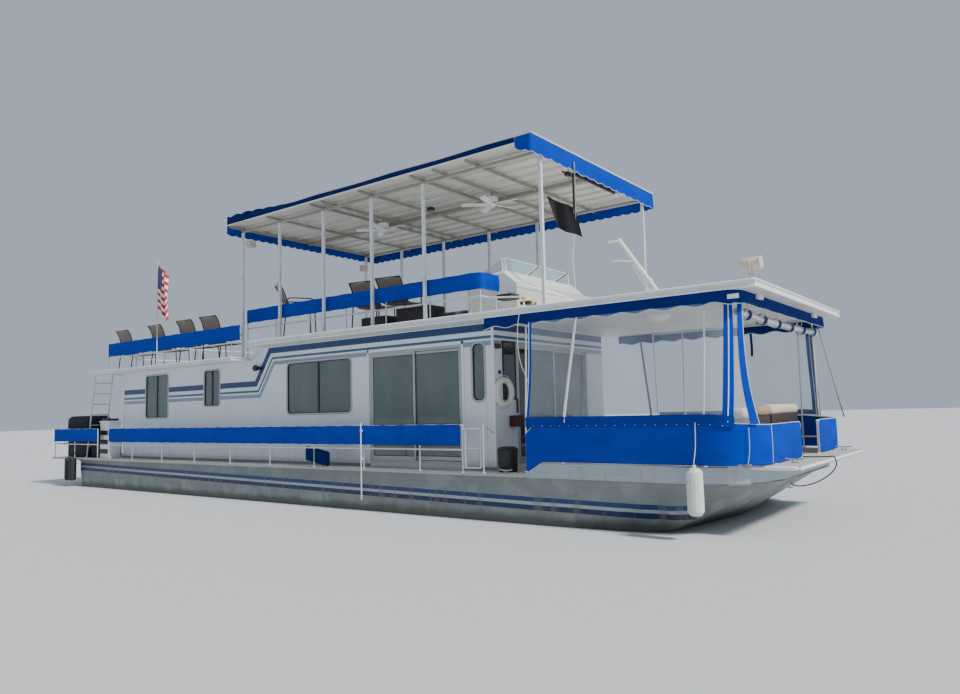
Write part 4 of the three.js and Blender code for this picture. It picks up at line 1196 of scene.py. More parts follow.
def hang(
    piece: Piece, name: str, finish: Finish, flat: Pair, rest: Piece | str, held: str = "stretched",
    slot: str = "blue_fabric", replaces: Sequence[str] = (), **more: object,
) -> Piece:
    """Args:
        piece: The cloth.
        name: Its name.
        finish: What it is painted with.
        flat: Its flat width and height, in metres; not used.
        rest: The piece that carries it, or its name; not used.
        held: How it is held; not used.
        slot: The record's material slot.
        replaces: The CAD nodes that it stands for.
        more: Not used.

    Returns:
        The cloth.
    """
    install(piece, name, finish, slot, replaces=replaces)
    return piece


@dataclass
class Assembly:
    """A group of the boat's pieces, built over the CAD nodes."""

    frame: dict

    def paint(self, finish: Finish, *nodes: str) -> None:
        """Gives CAD nodes their finish.

        Args:
            finish: The finish.
            nodes: The nodes' names.
        """
        for node in nodes:
            mesh = self.frame["nodes"][node].data
            mesh.materials.clear()
            mesh.materials.append(finish.material())

    def smooth_skin(self, node: str, finish: Finish, slot: str, angle: float) -> None:
        """Lays a merged, smoothly shaded skin over a CAD node and hides the node.

        Args:
            node: The node's name.
            finish: What the skin is painted with.
            slot: The record's material slot.
            angle: The sharpest fold, in degrees, that still shades as one surface.
        """
        source = self.frame["nodes"][node]
        piece = source.copy()
        piece.data = source.data.copy()
        bpy.context.scene.collection.objects.link(piece)
        in_edit(piece, bpy.ops.mesh.remove_doubles, threshold=0.0001)
        install(smoothed(piece, angle), f"{node}_skin", finish, slot, replaces=[node])

    def build(self) -> None:
        """Builds the group."""
        raise NotImplementedError


def quarter(x: float, y: float, radius: float, steps: int) -> list[Pair]:
    """A quarter turn about a point on the deck, from port to ahead."""
    return [(x + radius * math.sin(a), y + radius * math.cos(a))
            for a in (k / steps * math.pi / 2 for k in range(steps + 1))]


def outside_right(ends: list[Pair], side: Side) -> Path:
    """A line given from aft to fore, run so that the boat's outside is on its right."""
    return Path(ends if side is Side.STARBOARD else ends[::-1])


def mirrored(points: Iterable[Sequence[float]], side: Side) -> list[tuple[float, ...]]:
    """Points given for port, put on a side."""
    return [(p[0], p[1] * side.value, *p[2:]) for p in points]


# The view


@dataclass
class Studio:
    """The camera at the photograph's angle, a pale floor and soft light."""

    eye: Point = (12.36628, -11.88395, 1.72)
    heading: float = 0.64962
    pitch: float = 0.085486
    roll: float = -0.025392
    lens: float = 27.99
    floor_half: float = 160.0
    sun: Point = (0.80, -0.02, 0.72)
    sun_energy: float = 4.6
    sun_spread: float = 7.0
    sun_colour: Colour = (1.0, 0.96, 0.90)
    sky: Colour = (0.74, 0.85, 1.0)
    sky_strength: float = 0.55

    def camera(self) -> None:
        """Makes the camera."""
        cos_h, sin_h = math.cos(self.heading), math.sin(self.heading)
        ahead = Vector((-sin_h * math.cos(self.pitch), cos_h * math.cos(self.pitch), math.sin(self.pitch)))
        right = Vector((cos_h, sin_h, 0.0))
        up = right.cross(ahead)
        across = right * math.cos(self.roll) + up * math.sin(self.roll)
        upward = up * math.cos(self.roll) - right * math.sin(self.roll)
        lens = bpy.data.cameras.new("camera")
        lens.sensor_width = 36.0
        lens.lens = self.lens
        lens.clip_start = 0.1
        lens.clip_end = 600.0
        made = linked("camera", lens)
        turn = Matrix((across, upward, -ahead)).transposed().to_4x4()
        made.matrix_world = Matrix.Translation(self.eye) @ turn
        bpy.context.scene.camera = made

    def floor(self) -> None:
        """Lays the floor at the waterline."""
        deselect()
        bpy.ops.mesh.primitive_plane_add(size=2 * self.floor_half, location=(0.0, 0.0, 0.0))
        plain = bpy.context.object
        plain.name = "floor"
        tint = Enamel("floor_paint", colour=(0.62, 0.65, 0.67), rough=0.6, grime=0.0, peel=0.0)
        plain.data.materials.append(tint.material())

    def light(self) -> None:
        """Hangs a bright sky and one broad soft lamp ahead of the bow."""
        world = bpy.data.worlds.new("soft_sky")
        world.use_nodes = True
        backdrop = world.node_tree.nodes["Background"]
        backdrop.inputs["Color"].default_value = (*self.sky, 1.0)
        backdrop.inputs["Strength"].default_value = self.sky_strength
        bpy.context.scene.world = world
        lamp = bpy.data.lights.new("sun", "SUN")
        lamp.energy = self.sun_energy
        lamp.angle = math.radians(self.sun_spread)
        lamp.color = self.sun_colour
        toward = Vector(self.sun)
        linked("sun", lamp).rotation_euler = toward.to_track_quat("Z", "Y").to_euler()

    def build(self) -> None:
        """Makes the whole set."""
        self.camera()
        self.floor()
        self.light()


# Lines


def curve_through(points: Sequence[Point], steps: int) -> list[Point]:
    """A smooth path through points (a Catmull-Rom curve).

    Args:
        points: The points that it passes.
        steps: How many bits it has between two points.

    Returns:
        The path's points.
    """
    spots = [Vector(p) for p in points]
    ends = [spots[0] * 2 - spots[1], *spots, spots[-1] * 2 - spots[-2]]
    path = []
    for a, b, c, d in zip(ends, ends[1:], ends[2:], ends[3:]):
        for k in range(steps):
            t = k / steps
            path.append(0.5 * (
                2 * b + (c - a) * t + (2 * a - 5 * b + 4 * c - d) * t * t + (3 * b - a - 3 * c + d) * t ** 3
            ))
    path.append(spots[-1])
    return [tuple(p) for p in path]


def rope(path: Sequence[Point], diameter: float, sides: int = 12) -> Piece:
    """A round rope along a path, with its own distances in its UV map.

    Args:
        path: The rope's middle line.
        diameter: How thick it is.
        sides: How many faces go round it.

    Returns:
        The mesh object.
    """
    line = [Vector(p) for p in path]
    measured = Path(path)
    points: list[Vector] = []
    side = Vector((0.0, 0.0, 1.0)).cross(line[1] - line[0])
    if side.length < 1e-4:
        side = Vector((1.0, 0.0, 0.0))
    for i, spot in enumerate(line):
        ahead = (line[min(i + 1, len(line) - 1)] - line[max(i - 1, 0)]).normalized()
        side = (side - ahead * side.dot(ahead)).normalized()
        up = ahead.cross(side)
        for k in range(sides):
            angle = 2 * math.pi * k / sides
            points.append(spot + (side * math.cos(angle) + up * math.sin(angle)) * diameter / 2)
    faces = [
        (r * sides + k, r * sides + (k + 1) % sides, (r + 1) * sides + (k + 1) % sides, (r + 1) * sides + k)
        for r in range(len(line) - 1)
        for k in range(sides)
    ]
    last = (len(line) - 1) * sides
    faces += [tuple(reversed(range(sides))), tuple(range(last, last + sides))]
    made = mesh_piece(points, faces)
    layer = made.data.uv_layers.new(name="cloth")
    for face in made.data.polygons[: (len(line) - 1) * sides]:
        for corner, loop in enumerate(face.loop_indices):
            ring, k = divmod(face.vertices[corner], sides)
            turn = 1.0 if k == 0 and corner in (1, 2) else k / sides
            layer.data[loop].uv = (measured.marks[ring], turn)
    return smoothed(made, 70.0)


@dataclass
class Lines(Assembly):
    """The free lines: the fender's, the mooring line and two thin ones at the porch."""

    fender_thick: float = 0.012
    mooring_thick: float = 0.018
    fender_route: tuple[Point, ...] = (
        (8.67, -2.4478, 1.5), (8.67, -2.4488, 1.45), (8.67, -2.4528, 1.35), (8.67, -2.4638, 1.25),
        (8.67, -2.4838, 1.15), (8.67, -2.5118, 1.075), (8.67, -2.5398, 1.02), (8.67, -2.5503, 0.985),
        (8.67, -2.5503, 0.9604),
    )
    mooring_route: tuple[Point, ...] = (
        (9.44, -0.3, 0.9396), (9.5, -0.335, 0.9396), (9.57, -0.325, 0.9396), (9.64, -0.29, 0.9396),
        (9.7, -0.255, 0.9396), (9.76, -0.23, 0.9396), (9.8, -0.215, 0.945), (9.834, -0.205, 0.939),
        (9.85, -0.19, 0.89), (9.85, -0.172, 0.82), (9.812, -0.185, 0.74), (9.73, -0.185, 0.66),
        (9.62, -0.15, 0.59), (9.49, -0.09, 0.53), (9.37, -0.04, 0.495), (9.28, -0.012, 0.482),
        (9.21, -0.002, 0.49), (9.165, 0.0, 0.513),
    )
    thin: float = 0.009
    roof_route: tuple[Point, ...] = (
        (5.955, -2.370, 3.316), (5.93, -2.42, 3.10), (5.918, -2.44, 2.80), (5.96, -2.44, 2.45),
        (6.10, -2.44, 2.125),
    )
    canvas_route: tuple[Point, ...] = (
        (9.300, -2.268, 1.43), (9.302, -2.272, 1.25), (9.296, -2.278, 1.10), (9.275, -2.292, 0.965),
    )

    def build(self) -> None:
        path = curve_through(self.fender_route, 5)
        hanging = install(rope(path, self.fender_thick), "fender_rope", WHITE_ROPE, "white_line",
                          replaces=["fender_line"])
        Path(path).length
        path = curve_through(self.mooring_route, 6)
        mooring = install(rope(path, self.mooring_thick), "mooring_rope", DARK_ROPE, "black_line",
                          replaces=["mooring_line"])
        Path(path).length
        for name, route in (("roof_line", self.roof_route), ("canvas_line", self.canvas_route)):
            path = curve_through(route, 8)
            piece = install(rope(path, self.thin, 8), name, WHITE_ROPE, "white_line")
            Path(path).length


# Hull and decks


@dataclass
class Hull(Assembly):
    """The plated hull, its decks, rub rails and fittings."""

    deck_edge: float = 2.440
    rub_z: float = 0.718
    bow_rub_z: float = 0.905
    bow_curve: tuple[Pair, ...] = ((8.20, 2.428), (8.70, 2.383), (9.0, 2.253))
    cleat_spots: tuple[Point, ...] = (
        (9.36, -0.30, BOW_Z), (9.60, 1.60, BOW_Z), (-9.6, -2.1, DECK_Z), (-9.6, 2.1, DECK_Z),
        (5.55, -2.33, DECK_Z), (5.55, 2.33, DECK_Z), (9.62, -1.45, BOW_Z),
    )
    stern: float = -9.88
    platform: Pair = (9.12, 9.80)
    platform_half: float = 1.99

    def rub_rails(self) -> None:
        """Runs a rounded aluminium rub rail along each deck edge and up the ramp."""
        for side in Side:
            y = side.value * self.deck_edge
            path = [(self.stern, y, self.rub_z), (RAMP[0], y, self.rub_z), (RAMP[1], y, self.bow_rub_z)]
            path += [(x, side.value * out, self.bow_rub_z) for x, out in self.bow_curve]
            install(pipes([path], 0.016), f"rub_rail_{side.label}", FRAME_METAL, "pipe")
        aft = [(self.stern, y, self.rub_z) for y in (-2.43, 2.43)]
        install(pipes([aft], 0.016), "rub_rail_aft", FRAME_METAL, "pipe")
        (near, far), half = self.platform, self.platform_half
        lip = [(near, -half, 0.9), (far, -half, 0.9), (far, half, 0.9), (near, half, 0.9)]
        install(pipes([rounded(lip, 0.05)], 0.028, 3), "platform_lip", WHITE_TRIM, "deck")

    def cleats(self) -> None:
        """Bolts horned cleats to the decks."""
        parts = []
        for x, y, z in self.cleat_spots:
            parts.append(block((x - 0.045, y - 0.018, z), (x + 0.045, y + 0.018, z + 0.012), 0.004))
            parts += [drum((a, y, z + 0.01), (a, y, z + 0.045), 0.009, 12) for a in (x - 0.025, x + 0.025)]
            rise = ((-0.12, 0.062), (-0.06, 0.05), (0.06, 0.05), (0.12, 0.062))
            horn = [(x + along, y, z + up) for along, up in rise]
            parts.append(pipes([horn], 0.011))
        install(smoothed(joined(parts)), "cleats", STEEL, "metal")

    def bow_eye(self) -> None:
        """Bolts the towing eye to the stem."""
        ring = hoop((9.150, 0.0, 0.490), (math.pi / 2, 0.0, 0.0), 0.040, 0.011, (28, 10))
        plate = block((9.00, -0.05, 0.45), (9.118, 0.05, 0.535), 0.006)
        install(smoothed(joined([ring, plate])), "bow_eye", STEEL, "metal")

    def black_fenders(self) -> None:
        """Hangs two dark fenders at the starboard quarter, each on a short lanyard."""
        parts = []
        y, low, high, radius = -self.deck_edge - 0.115, 0.22, 0.70, 0.095
        for x in (-8.40, -8.64):
            parts.append(drum((x, y, low), (x, y, high), radius, 24))
            parts += [ball((x, y, z), radius, (1.0, 1.0, 0.7)) for z in (low, high)]
            parts.append(pipes([[(x, y, 0.76), (x, y + 0.03, 0.82), (x, -2.435, 1.10)]], 0.007))
        install(smoothed(joined(parts)), "quarter_fenders", DARK_RUBBER, "black_plastic")

    def build(self) -> None:
        """Dresses the hull's nodes and adds its fittings."""
        self.smooth_skin("hull", HULL_PLATE, "hull_aluminium", 28.0)
        self.paint(DARK_STEEL, "engines")
        self.paint(DECK, "main_deck")
        self.paint(BOW_PLATE, "bow_deck")
        self.rub_rails()
        self.cleats()
        self.bow_eye()
        self.black_fenders()


# Cabin


@dataclass
class Opening:
    """The outline of a window or door in a wall, in the wall's own two directions."""

    across: Pair
    up: Pair
    radius: float = 0.09
    bars: tuple[float, ...] = ()


@dataclass
class Cabin(Assembly):
    """The panelled cabin with its windows, doors and trim."""

    half: float = 1.880
    aft: float = -7.090
    fore: float = 5.060
    windows: dict[str, Opening] = field(default_factory=lambda: {
        "aft_window": Opening((-5.98, -4.92), (1.742, 2.83), 0.09, (-5.45,)),
        "small_window": Opening((-3.38, -2.74), (1.98, 2.83), 0.09, (-3.06,)),
        "long_window": Opening((-0.34, 1.62), (1.744, 2.83), 0.11, (0.64,)),
        "slim_window": Opening((4.58, 4.864), (1.88, 2.88), 0.11),
    })
    side_door: Opening = field(default_factory=lambda: Opening((2.11, 4.36), (0.82, 2.87)))
    front_door: Opening = field(default_factory=lambda: Opening((-1.25, 1.25), (0.80, 2.88)))
    door_frame: float = 0.045

    def outline(self, opening: Opening, inset: float, steps: int = 6) -> list[Pair]:
        """A window's rounded outline, drawn in by a margin.

        Args:
            opening: The opening in the wall.
            inset: The margin.
            steps: The steps round each corner.

        Returns:
            The points: the distance along the wall and the height.
        """
        (a, b), (c, d) = opening.across, opening.up
        a, b, c, d = a + inset, b - inset, c + inset, d - inset
        radius = max(opening.radius - inset, 0.02)
        corners = ((b - radius, c + radius, -90), (b - radius, d - radius, 0),
                   (a + radius, d - radius, 90), (a + radius, c + radius, 180))
        return [
            (u + radius * math.cos(math.radians(start + 90 * k / steps)),
             v + radius * math.sin(math.radians(start + 90 * k / steps)))
            for u, v, start in corners
            for k in range(steps + 1)
        ]

    def ring(self, opening: Opening, outer: float, inner: float, depth: Pair, side: Side) -> Piece:
        """A flat rounded frame between two margins of an opening.

        Args:
            opening: The window.
            outer: The outer edge's margin; below zero it overlaps the wall.
            inner: The inner edge's margin.
            depth: From which to which distance off the centreline it reaches.
            side: The side of the boat.

        Returns:
            The frame.
        """
        loops = [
            [(u, side.value * y, v) for u, v in self.outline(opening, inset)]
            for inset, y in ((outer, depth[0]), (outer, depth[1]), (inner, depth[1]), (inner, depth[0]))
        ]
        count = len(loops[0])
        faces = [
            (r * count + i, r * count + (i + 1) % count,
             (r + 1) % 4 * count + (i + 1) % count, (r + 1) % 4 * count + i)
            for r in range(4)
            for i in range(count)
        ]
        made = mesh_piece([p for loop in loops for p in loop], faces)
        in_edit(made, bpy.ops.mesh.normals_make_consistent, inside=False)
        return smoothed(eased(made, 0.004))

    def pane(self, opening: Opening, inset: float, depth: Pair, side: Side) -> Piece:
        """A rounded sheet of glass in an opening.

        Args:
            opening: The opening in the wall.
            inset: The margin.
            depth: Its two faces, measured across the boat.
            side: The side of the boat.

        Returns:
            The pane.
        """
        ring = self.outline(opening, inset)
        count = len(ring)
        points = [(u, side.value * y, v) for y in depth for u, v in ring]
        faces = [tuple(range(count)), tuple(reversed(range(count, 2 * count)))]
        faces += [(i, count + i, count + (i + 1) % count, (i + 1) % count) for i in range(count)]
        made = mesh_piece(points, faces)
        in_edit(made, bpy.ops.mesh.normals_make_consistent, inside=False)
        return made

    def build_windows(self) -> None:
        """Sets the framed windows in both side walls."""
        for side in Side:
            for name, opening in self.windows.items():
                label = f"{name}_{side.label}"
                replaces = [f"window_{side.label}"] if name == "long_window" else []
                frame = self.ring(opening, -0.018, 0.022, (self.half - 0.045, self.half + 0.008), side)
                install(frame, f"{label}_frame", FRAME_METAL, "window_glass", replaces=replaces)
                seal = [self.ring(opening, 0.020, 0.036, (self.half - 0.04, self.half - 0.004), side)]
                low, high = opening.up
                for bar in opening.bars:
                    ends = sorted((side.value * (self.half - 0.04), side.value * (self.half - 0.008)))
                    seal.append(box((bar - 0.020, ends[0], low + 0.02), (bar + 0.020, ends[1], high - 0.02)))
                install(joined(seal), f"{label}_seal", DARK_RUBBER, "black_plastic")
                glass = self.pane(opening, 0.030, (self.half - 0.028, self.half - 0.022), side)
                install(glass, f"{label}_glass", GLASS, "window_glass")

    def door(
        self, label: str, opening: Opening, spot: Callable[[Pair, Pair, Pair], Piece], body: str,
        tint: Finish = GLASS,
    ) -> None:
        """Builds a sliding door: its outer frame, its fixed leaf and the leaf that slides.

        Args:
            label: The start of its nodes' names.
            opening: Its outline.
            spot: Makes a box from ranges along the wall, of depth into it, and up.
            body: The body that the sliding leaf rides on.
            tint: Its glass.
        """
        (low, high), (sill, head) = opening.across, opening.up
        edge, middle = self.door_frame, (low + high) / 2
        sash, seal = 0.048, 0.012

        def leaf(span: Pair, up: Pair, depth: Pair) -> tuple[Piece, Piece, Piece]:
            """A glazed leaf: its sash, its seal and its pane.

            Args:
                span: Its two edges along the wall.
                up: Its foot and its head.
                depth: Its two faces across the wall.

            Returns:
                The sash, the seal and the pane.
            """
            (a, b), (c, d) = span, up
            bars = [spot((a, a + sash), depth, up), spot((b - sash, b), depth, up),
                    spot((a + sash, b - sash), depth, (c, c + sash * 1.5)),
                    spot((a + sash, b - sash), depth, (d - sash, d))]
            mid = (depth[0] + depth[1]) / 2
            inner = (a + sash, b - sash, c + sash * 1.5, d - sash)
            rubber = (mid - 0.006, mid + 0.006)
            seals = [spot((inner[0], inner[0] + seal), rubber, inner[2:]),
                     spot((inner[1] - seal, inner[1]), rubber, inner[2:]),
                     spot((inner[0], inner[1]), rubber, (inner[2], inner[2] + seal)),
                     spot((inner[0], inner[1]), rubber, (inner[3] - seal, inner[3]))]
            glass = spot((inner[0] + 0.004, inner[1] - 0.004), (mid - 0.003, mid + 0.003),
                         (inner[2] + 0.004, inner[3] - 0.004))
            return eased(joined(bars), 0.003), joined(seals), glass

        deep = (0.0, 0.058)
        surround = [
            spot((low, low + edge), deep, (sill, head)), spot((high - edge, high), deep, (sill, head)),
            spot((low + edge, high - edge), deep, (sill, sill + edge)),
            spot((low + edge, high - edge), deep, (head - edge, head)),
        ]
        fixed = leaf((low + edge, middle + 0.03), (sill + edge, head - edge), (0.006, 0.026))
        sash_bars, seals, glass = fixed
        frame = joined([eased(joined(surround), 0.003), sash_bars])
        install(frame, f"{label}_frame", FRAME_METAL, "window_glass", replaces=[f"{label}_fixed"])
        install(seals, f"{label}_fixed_seal", DARK_RUBBER, "black_plastic")
        install(glass, f"{label}_fixed_glass", tint, "window_glass")
        foot, top = sill + edge + 0.006, head - edge - 0.006
        sash_bars, seals, glass = leaf((middle - 0.05, high - edge - 0.006), (foot, top), (0.034, 0.050))
        install(sash_bars, f"{label}_slide_sash", FRAME_METAL, "window_glass", body,
                replaces=[f"{label}_slide"])
        install(seals, f"{label}_slide_seal", DARK_RUBBER, "black_plastic", body)
        install(glass, f"{label}_slide_glass", tint, "window_glass", body)

    def build_doors(self) -> None:
        """Hangs the sliding doors and dresses the hinged one."""
        for side in Side:
            def spot(across: Pair, depth: Pair, up: Pair, side: Side = side) -> Piece:
                """A box in the side wall."""
                ys = sorted(side.value * (self.half - d) for d in depth)
                return box((across[0], ys[0], up[0]), (across[1], ys[1], up[1]))

            self.door(f"side_door_{side.label}", self.side_door, spot, f"side_door_{side.label}")

        def front(across: Pair, depth: Pair, up: Pair) -> Piece:
            """A box in the front wall."""
            return box((self.fore - depth[1], across[0], up[0]), (self.fore - depth[0], across[1], up[1]))

        self.door("front_door", self.front_door, front, "front_door", FRONT_GLASS)
        self.paint(WHITE_TRIM, "aft_door")
        panel = block((self.aft - 0.006, -0.30, 1.75), (self.aft + 0.002, 0.30, 2.60), 0.003)
        install(panel, "aft_door_light", GLASS, "window_glass", "aft_door")
        y, z = -0.33, 1.72
        knob = joined([drum((self.aft - 0.05, y, z), (self.aft, y, z), 0.012, 16),
                       ball((self.aft - 0.06, y, z), 0.026)])
        install(smoothed(knob), "aft_door_knob", STEEL, "metal", "aft_door")

    def build_trim(self) -> None:
        """Adds corner posts, door trim, the dark skirting and small fittings."""
        parts, skirting = [], []
        (start, end), foot, head = self.side_door.across, 0.80, 2.93
        for side in Side:
            inner, outer = sorted((side.value * (self.half + 0.0005), side.value * (self.half + 0.012)))
            for low, high in ((self.aft, start), (end, self.fore)):
                skirting.append(box((low, inner, ON_DECK), (high, outer, 0.79)))
            for x in (start - 0.05, end + 0.004):
                parts.append(box((x, inner, foot), (x + 0.046, outer, head)))
            parts.append(box((start - 0.05, inner, 2.874), (end + 0.05, outer, head)))
            for x, top in ((self.aft + 0.002, 2.935), (self.fore - 0.052, 3.195)):
                parts.append(box((x, inner, foot), (x + 0.05, outer, top)))
        install(eased(joined(parts), 0.003), "cabin_trim", WHITE_TRIM, "panel")
        install(joined(skirting), "cabin_skirting", GREY_TRIM, "pipe")
        face = self.fore + 0.001
        dark = [block((face, -1.87, 2.75), (face + 0.07, -1.77, 2.83), 0.008),
                block((face, -1.79, 2.33), (face + 0.03, -1.73, 2.39), 0.008),
                block((face + 0.01, -1.285, 1.67), (face + 0.03, -1.245, 1.92), 0.008)]
        install(joined(dark), "front_wall_fittings", DARK_PLASTIC, "black_plastic")
        low, high, near, far = 1.90, 2.90, -1.66, -1.27
        bars = [((near, low), (far, low + 0.03)), ((near, high - 0.03), (far, high)),
                ((near, low), (near + 0.03, high)), ((far - 0.03, low), (far, high)),
                ((near, 2.66), (far, 2.69))]
        rim = joined([box((face, a[0], a[1]), (face + 0.014, b[0], b[1])) for a, b in bars])
        install(eased(rim, 0.003), "front_window_frame", DARK_RUBBER, "black_plastic")
        pane = box((face, near + 0.02, low + 0.02), (face + 0.006, far - 0.02, high - 0.02))
        install(pane, "front_window_glass", FRONT_GLASS, "window_glass")
        red = block((self.fore + 0.002, -1.50, 1.44), (self.fore + 0.16, -1.26, 1.63), 0.012)
        install(red, "red_locker", RED_BOX, "black_plastic")
        horn = [drum((-1.30, -1.885, 2.77), (-1.30, -1.99, 2.77), 0.045, 20, 0.07),
                box((-1.42, -1.96, 2.75), (-1.18, -1.884, 2.79))]
        install(smoothed(joined(horn)), "side_horn", DARK_PLASTIC, "black_plastic")

    def build(self) -> None:
        """Dresses the walls and builds what is set in them."""
        self.paint(WALL_SIDE, "wall_starboard", "wall_port")
        self.paint(WALL_FORE, "wall_front")
        self.paint(WALL_AFT, "wall_aft")
        self.build_windows()
        self.build_doors()
        self.build_trim()


@dataclass
class Roofs(Assembly):
    """The low aft roof, the long main roof, their gutters and the searchlight."""

    half: float = 2.360
    main: Pair = (-1.020, 9.510)
    main_z: Pair = (3.200, 3.310)
    low: Pair = (-7.970, -1.600)
    low_z: Pair = (2.940, 3.020)
    light: Point = (9.270, -1.700, 3.615)
    lamp: Pair = (7.340, -0.450)

    def gutters(self) -> None:
        """Wraps each roof's edge in a rounded gutter strip."""
        roofs = (("main", self.main, self.main_z), ("low", self.low, self.low_z))
        for name, (aft, fore), (under, top) in roofs:
            runs = []
            for z, reach in ((top - 0.014, 0.008), (under + 0.012, 0.004)):
                edge = self.half + reach
                runs.append(rounded([(aft, -edge, z), (fore + reach, -edge, z), (fore + reach, edge, z),
                                     (aft, edge, z)], 0.05))
            install(pipes(runs, 0.014, 3), f"gutter_{name}", WHITE_TRIM, "roof")

    def searchlight(self) -> None:
        """Models the searchlight's drum, yoke and foot over the plain one."""
        x, y, z = self.light
        parts = [
            drum((x - 0.128, y, z), (x + 0.123, y, z), 0.0835, 40),
            drum((x + 0.112, y, z), (x + 0.142, y, z), 0.090, 40),
            drum((x - 0.152, y, z), (x - 0.124, y, z), 0.058, 32, 0.082),
            drum((x, y, 3.308), (x, y, 3.330), 0.070, 32, 0.056),
            drum((x, y, 3.325), (x, y, z - 0.100), 0.0345, 24),
        ]
        for sign in (-1, 1):
            arm = y + sign * 0.094
            parts.append(box((x - 0.016, arm - 0.005, z - 0.110), (x + 0.016, arm + 0.005, z + 0.018)))
            parts.append(drum((x, y + sign * 0.082, z), (x, y + sign * 0.106, z), 0.018, 16))
        parts.append(box((x - 0.016, y - 0.099, z - 0.114), (x + 0.016, y + 0.099, z - 0.098)))
        install(smoothed(eased(joined(parts), 0.004)), "searchlight", TAN_BOX, "roof")

    def ceiling_lamp(self) -> None:
        """Hangs the round lamp under the porch roof."""
        x, y = self.lamp
        rim = drum((x, y, 3.199), (x, y, 3.165), 0.22, 48, 0.20)
        bowl = ball((x, y, 3.165), 0.18, (1.0, 1.0, 0.45))
        install(smoothed(joined([rim, bowl])), "porch_lamp", GELCOAT, "gelcoat")

    def build(self) -> None:
        """Dresses the roofs."""
        self.paint(ROOF, "roof_aft", "roof_main")
        self.gutters()
        self.searchlight()
        self.ceiling_lamp()


# Rails and canvas


def band_cloth(path: Path, heights: Pair, posts: float, phase: float = 0.0) -> Piece:
    """A laced canvas band that sags a little between its ties.

    Args:
        path: The line on the ground that it follows.
        heights: Its lower and upper edge.
        posts: How far apart the posts behind it stand.
        phase: Where the first post stands, along the path.

    Returns:
        The cloth.
    """
    low, high = heights
    tall = high - low

    def place(along: float, up: float) -> Point:
        """The cloth's point at its own distances.

        Args:
            along: The distance along it.
            up: The distance up it.

        Returns:
            The point.
        """
        spot = path.at(along)
        out = path.outward(along)
        wave = (along - phase) / posts * math.pi
        belly = 0.010 * math.sin(wave) ** 2 * math.sin(math.pi * up / tall)
        lacing = 0.007 * abs(math.sin((along - phase) / 0.225 * math.pi / 2))
        slack = 0.004 * math.sin(along * 7.3 + up * 9.0) * math.sin(math.pi * up / tall)
        droop = lacing * ((up / tall) * 2 - 1)
        return (spot.x + out.x * (belly + slack), spot.y + out.y * (belly + slack), low + up - droop)

    return cloth(place, (path.length, tall), (max(8, int(path.length / 0.075)), 8), 0.003)


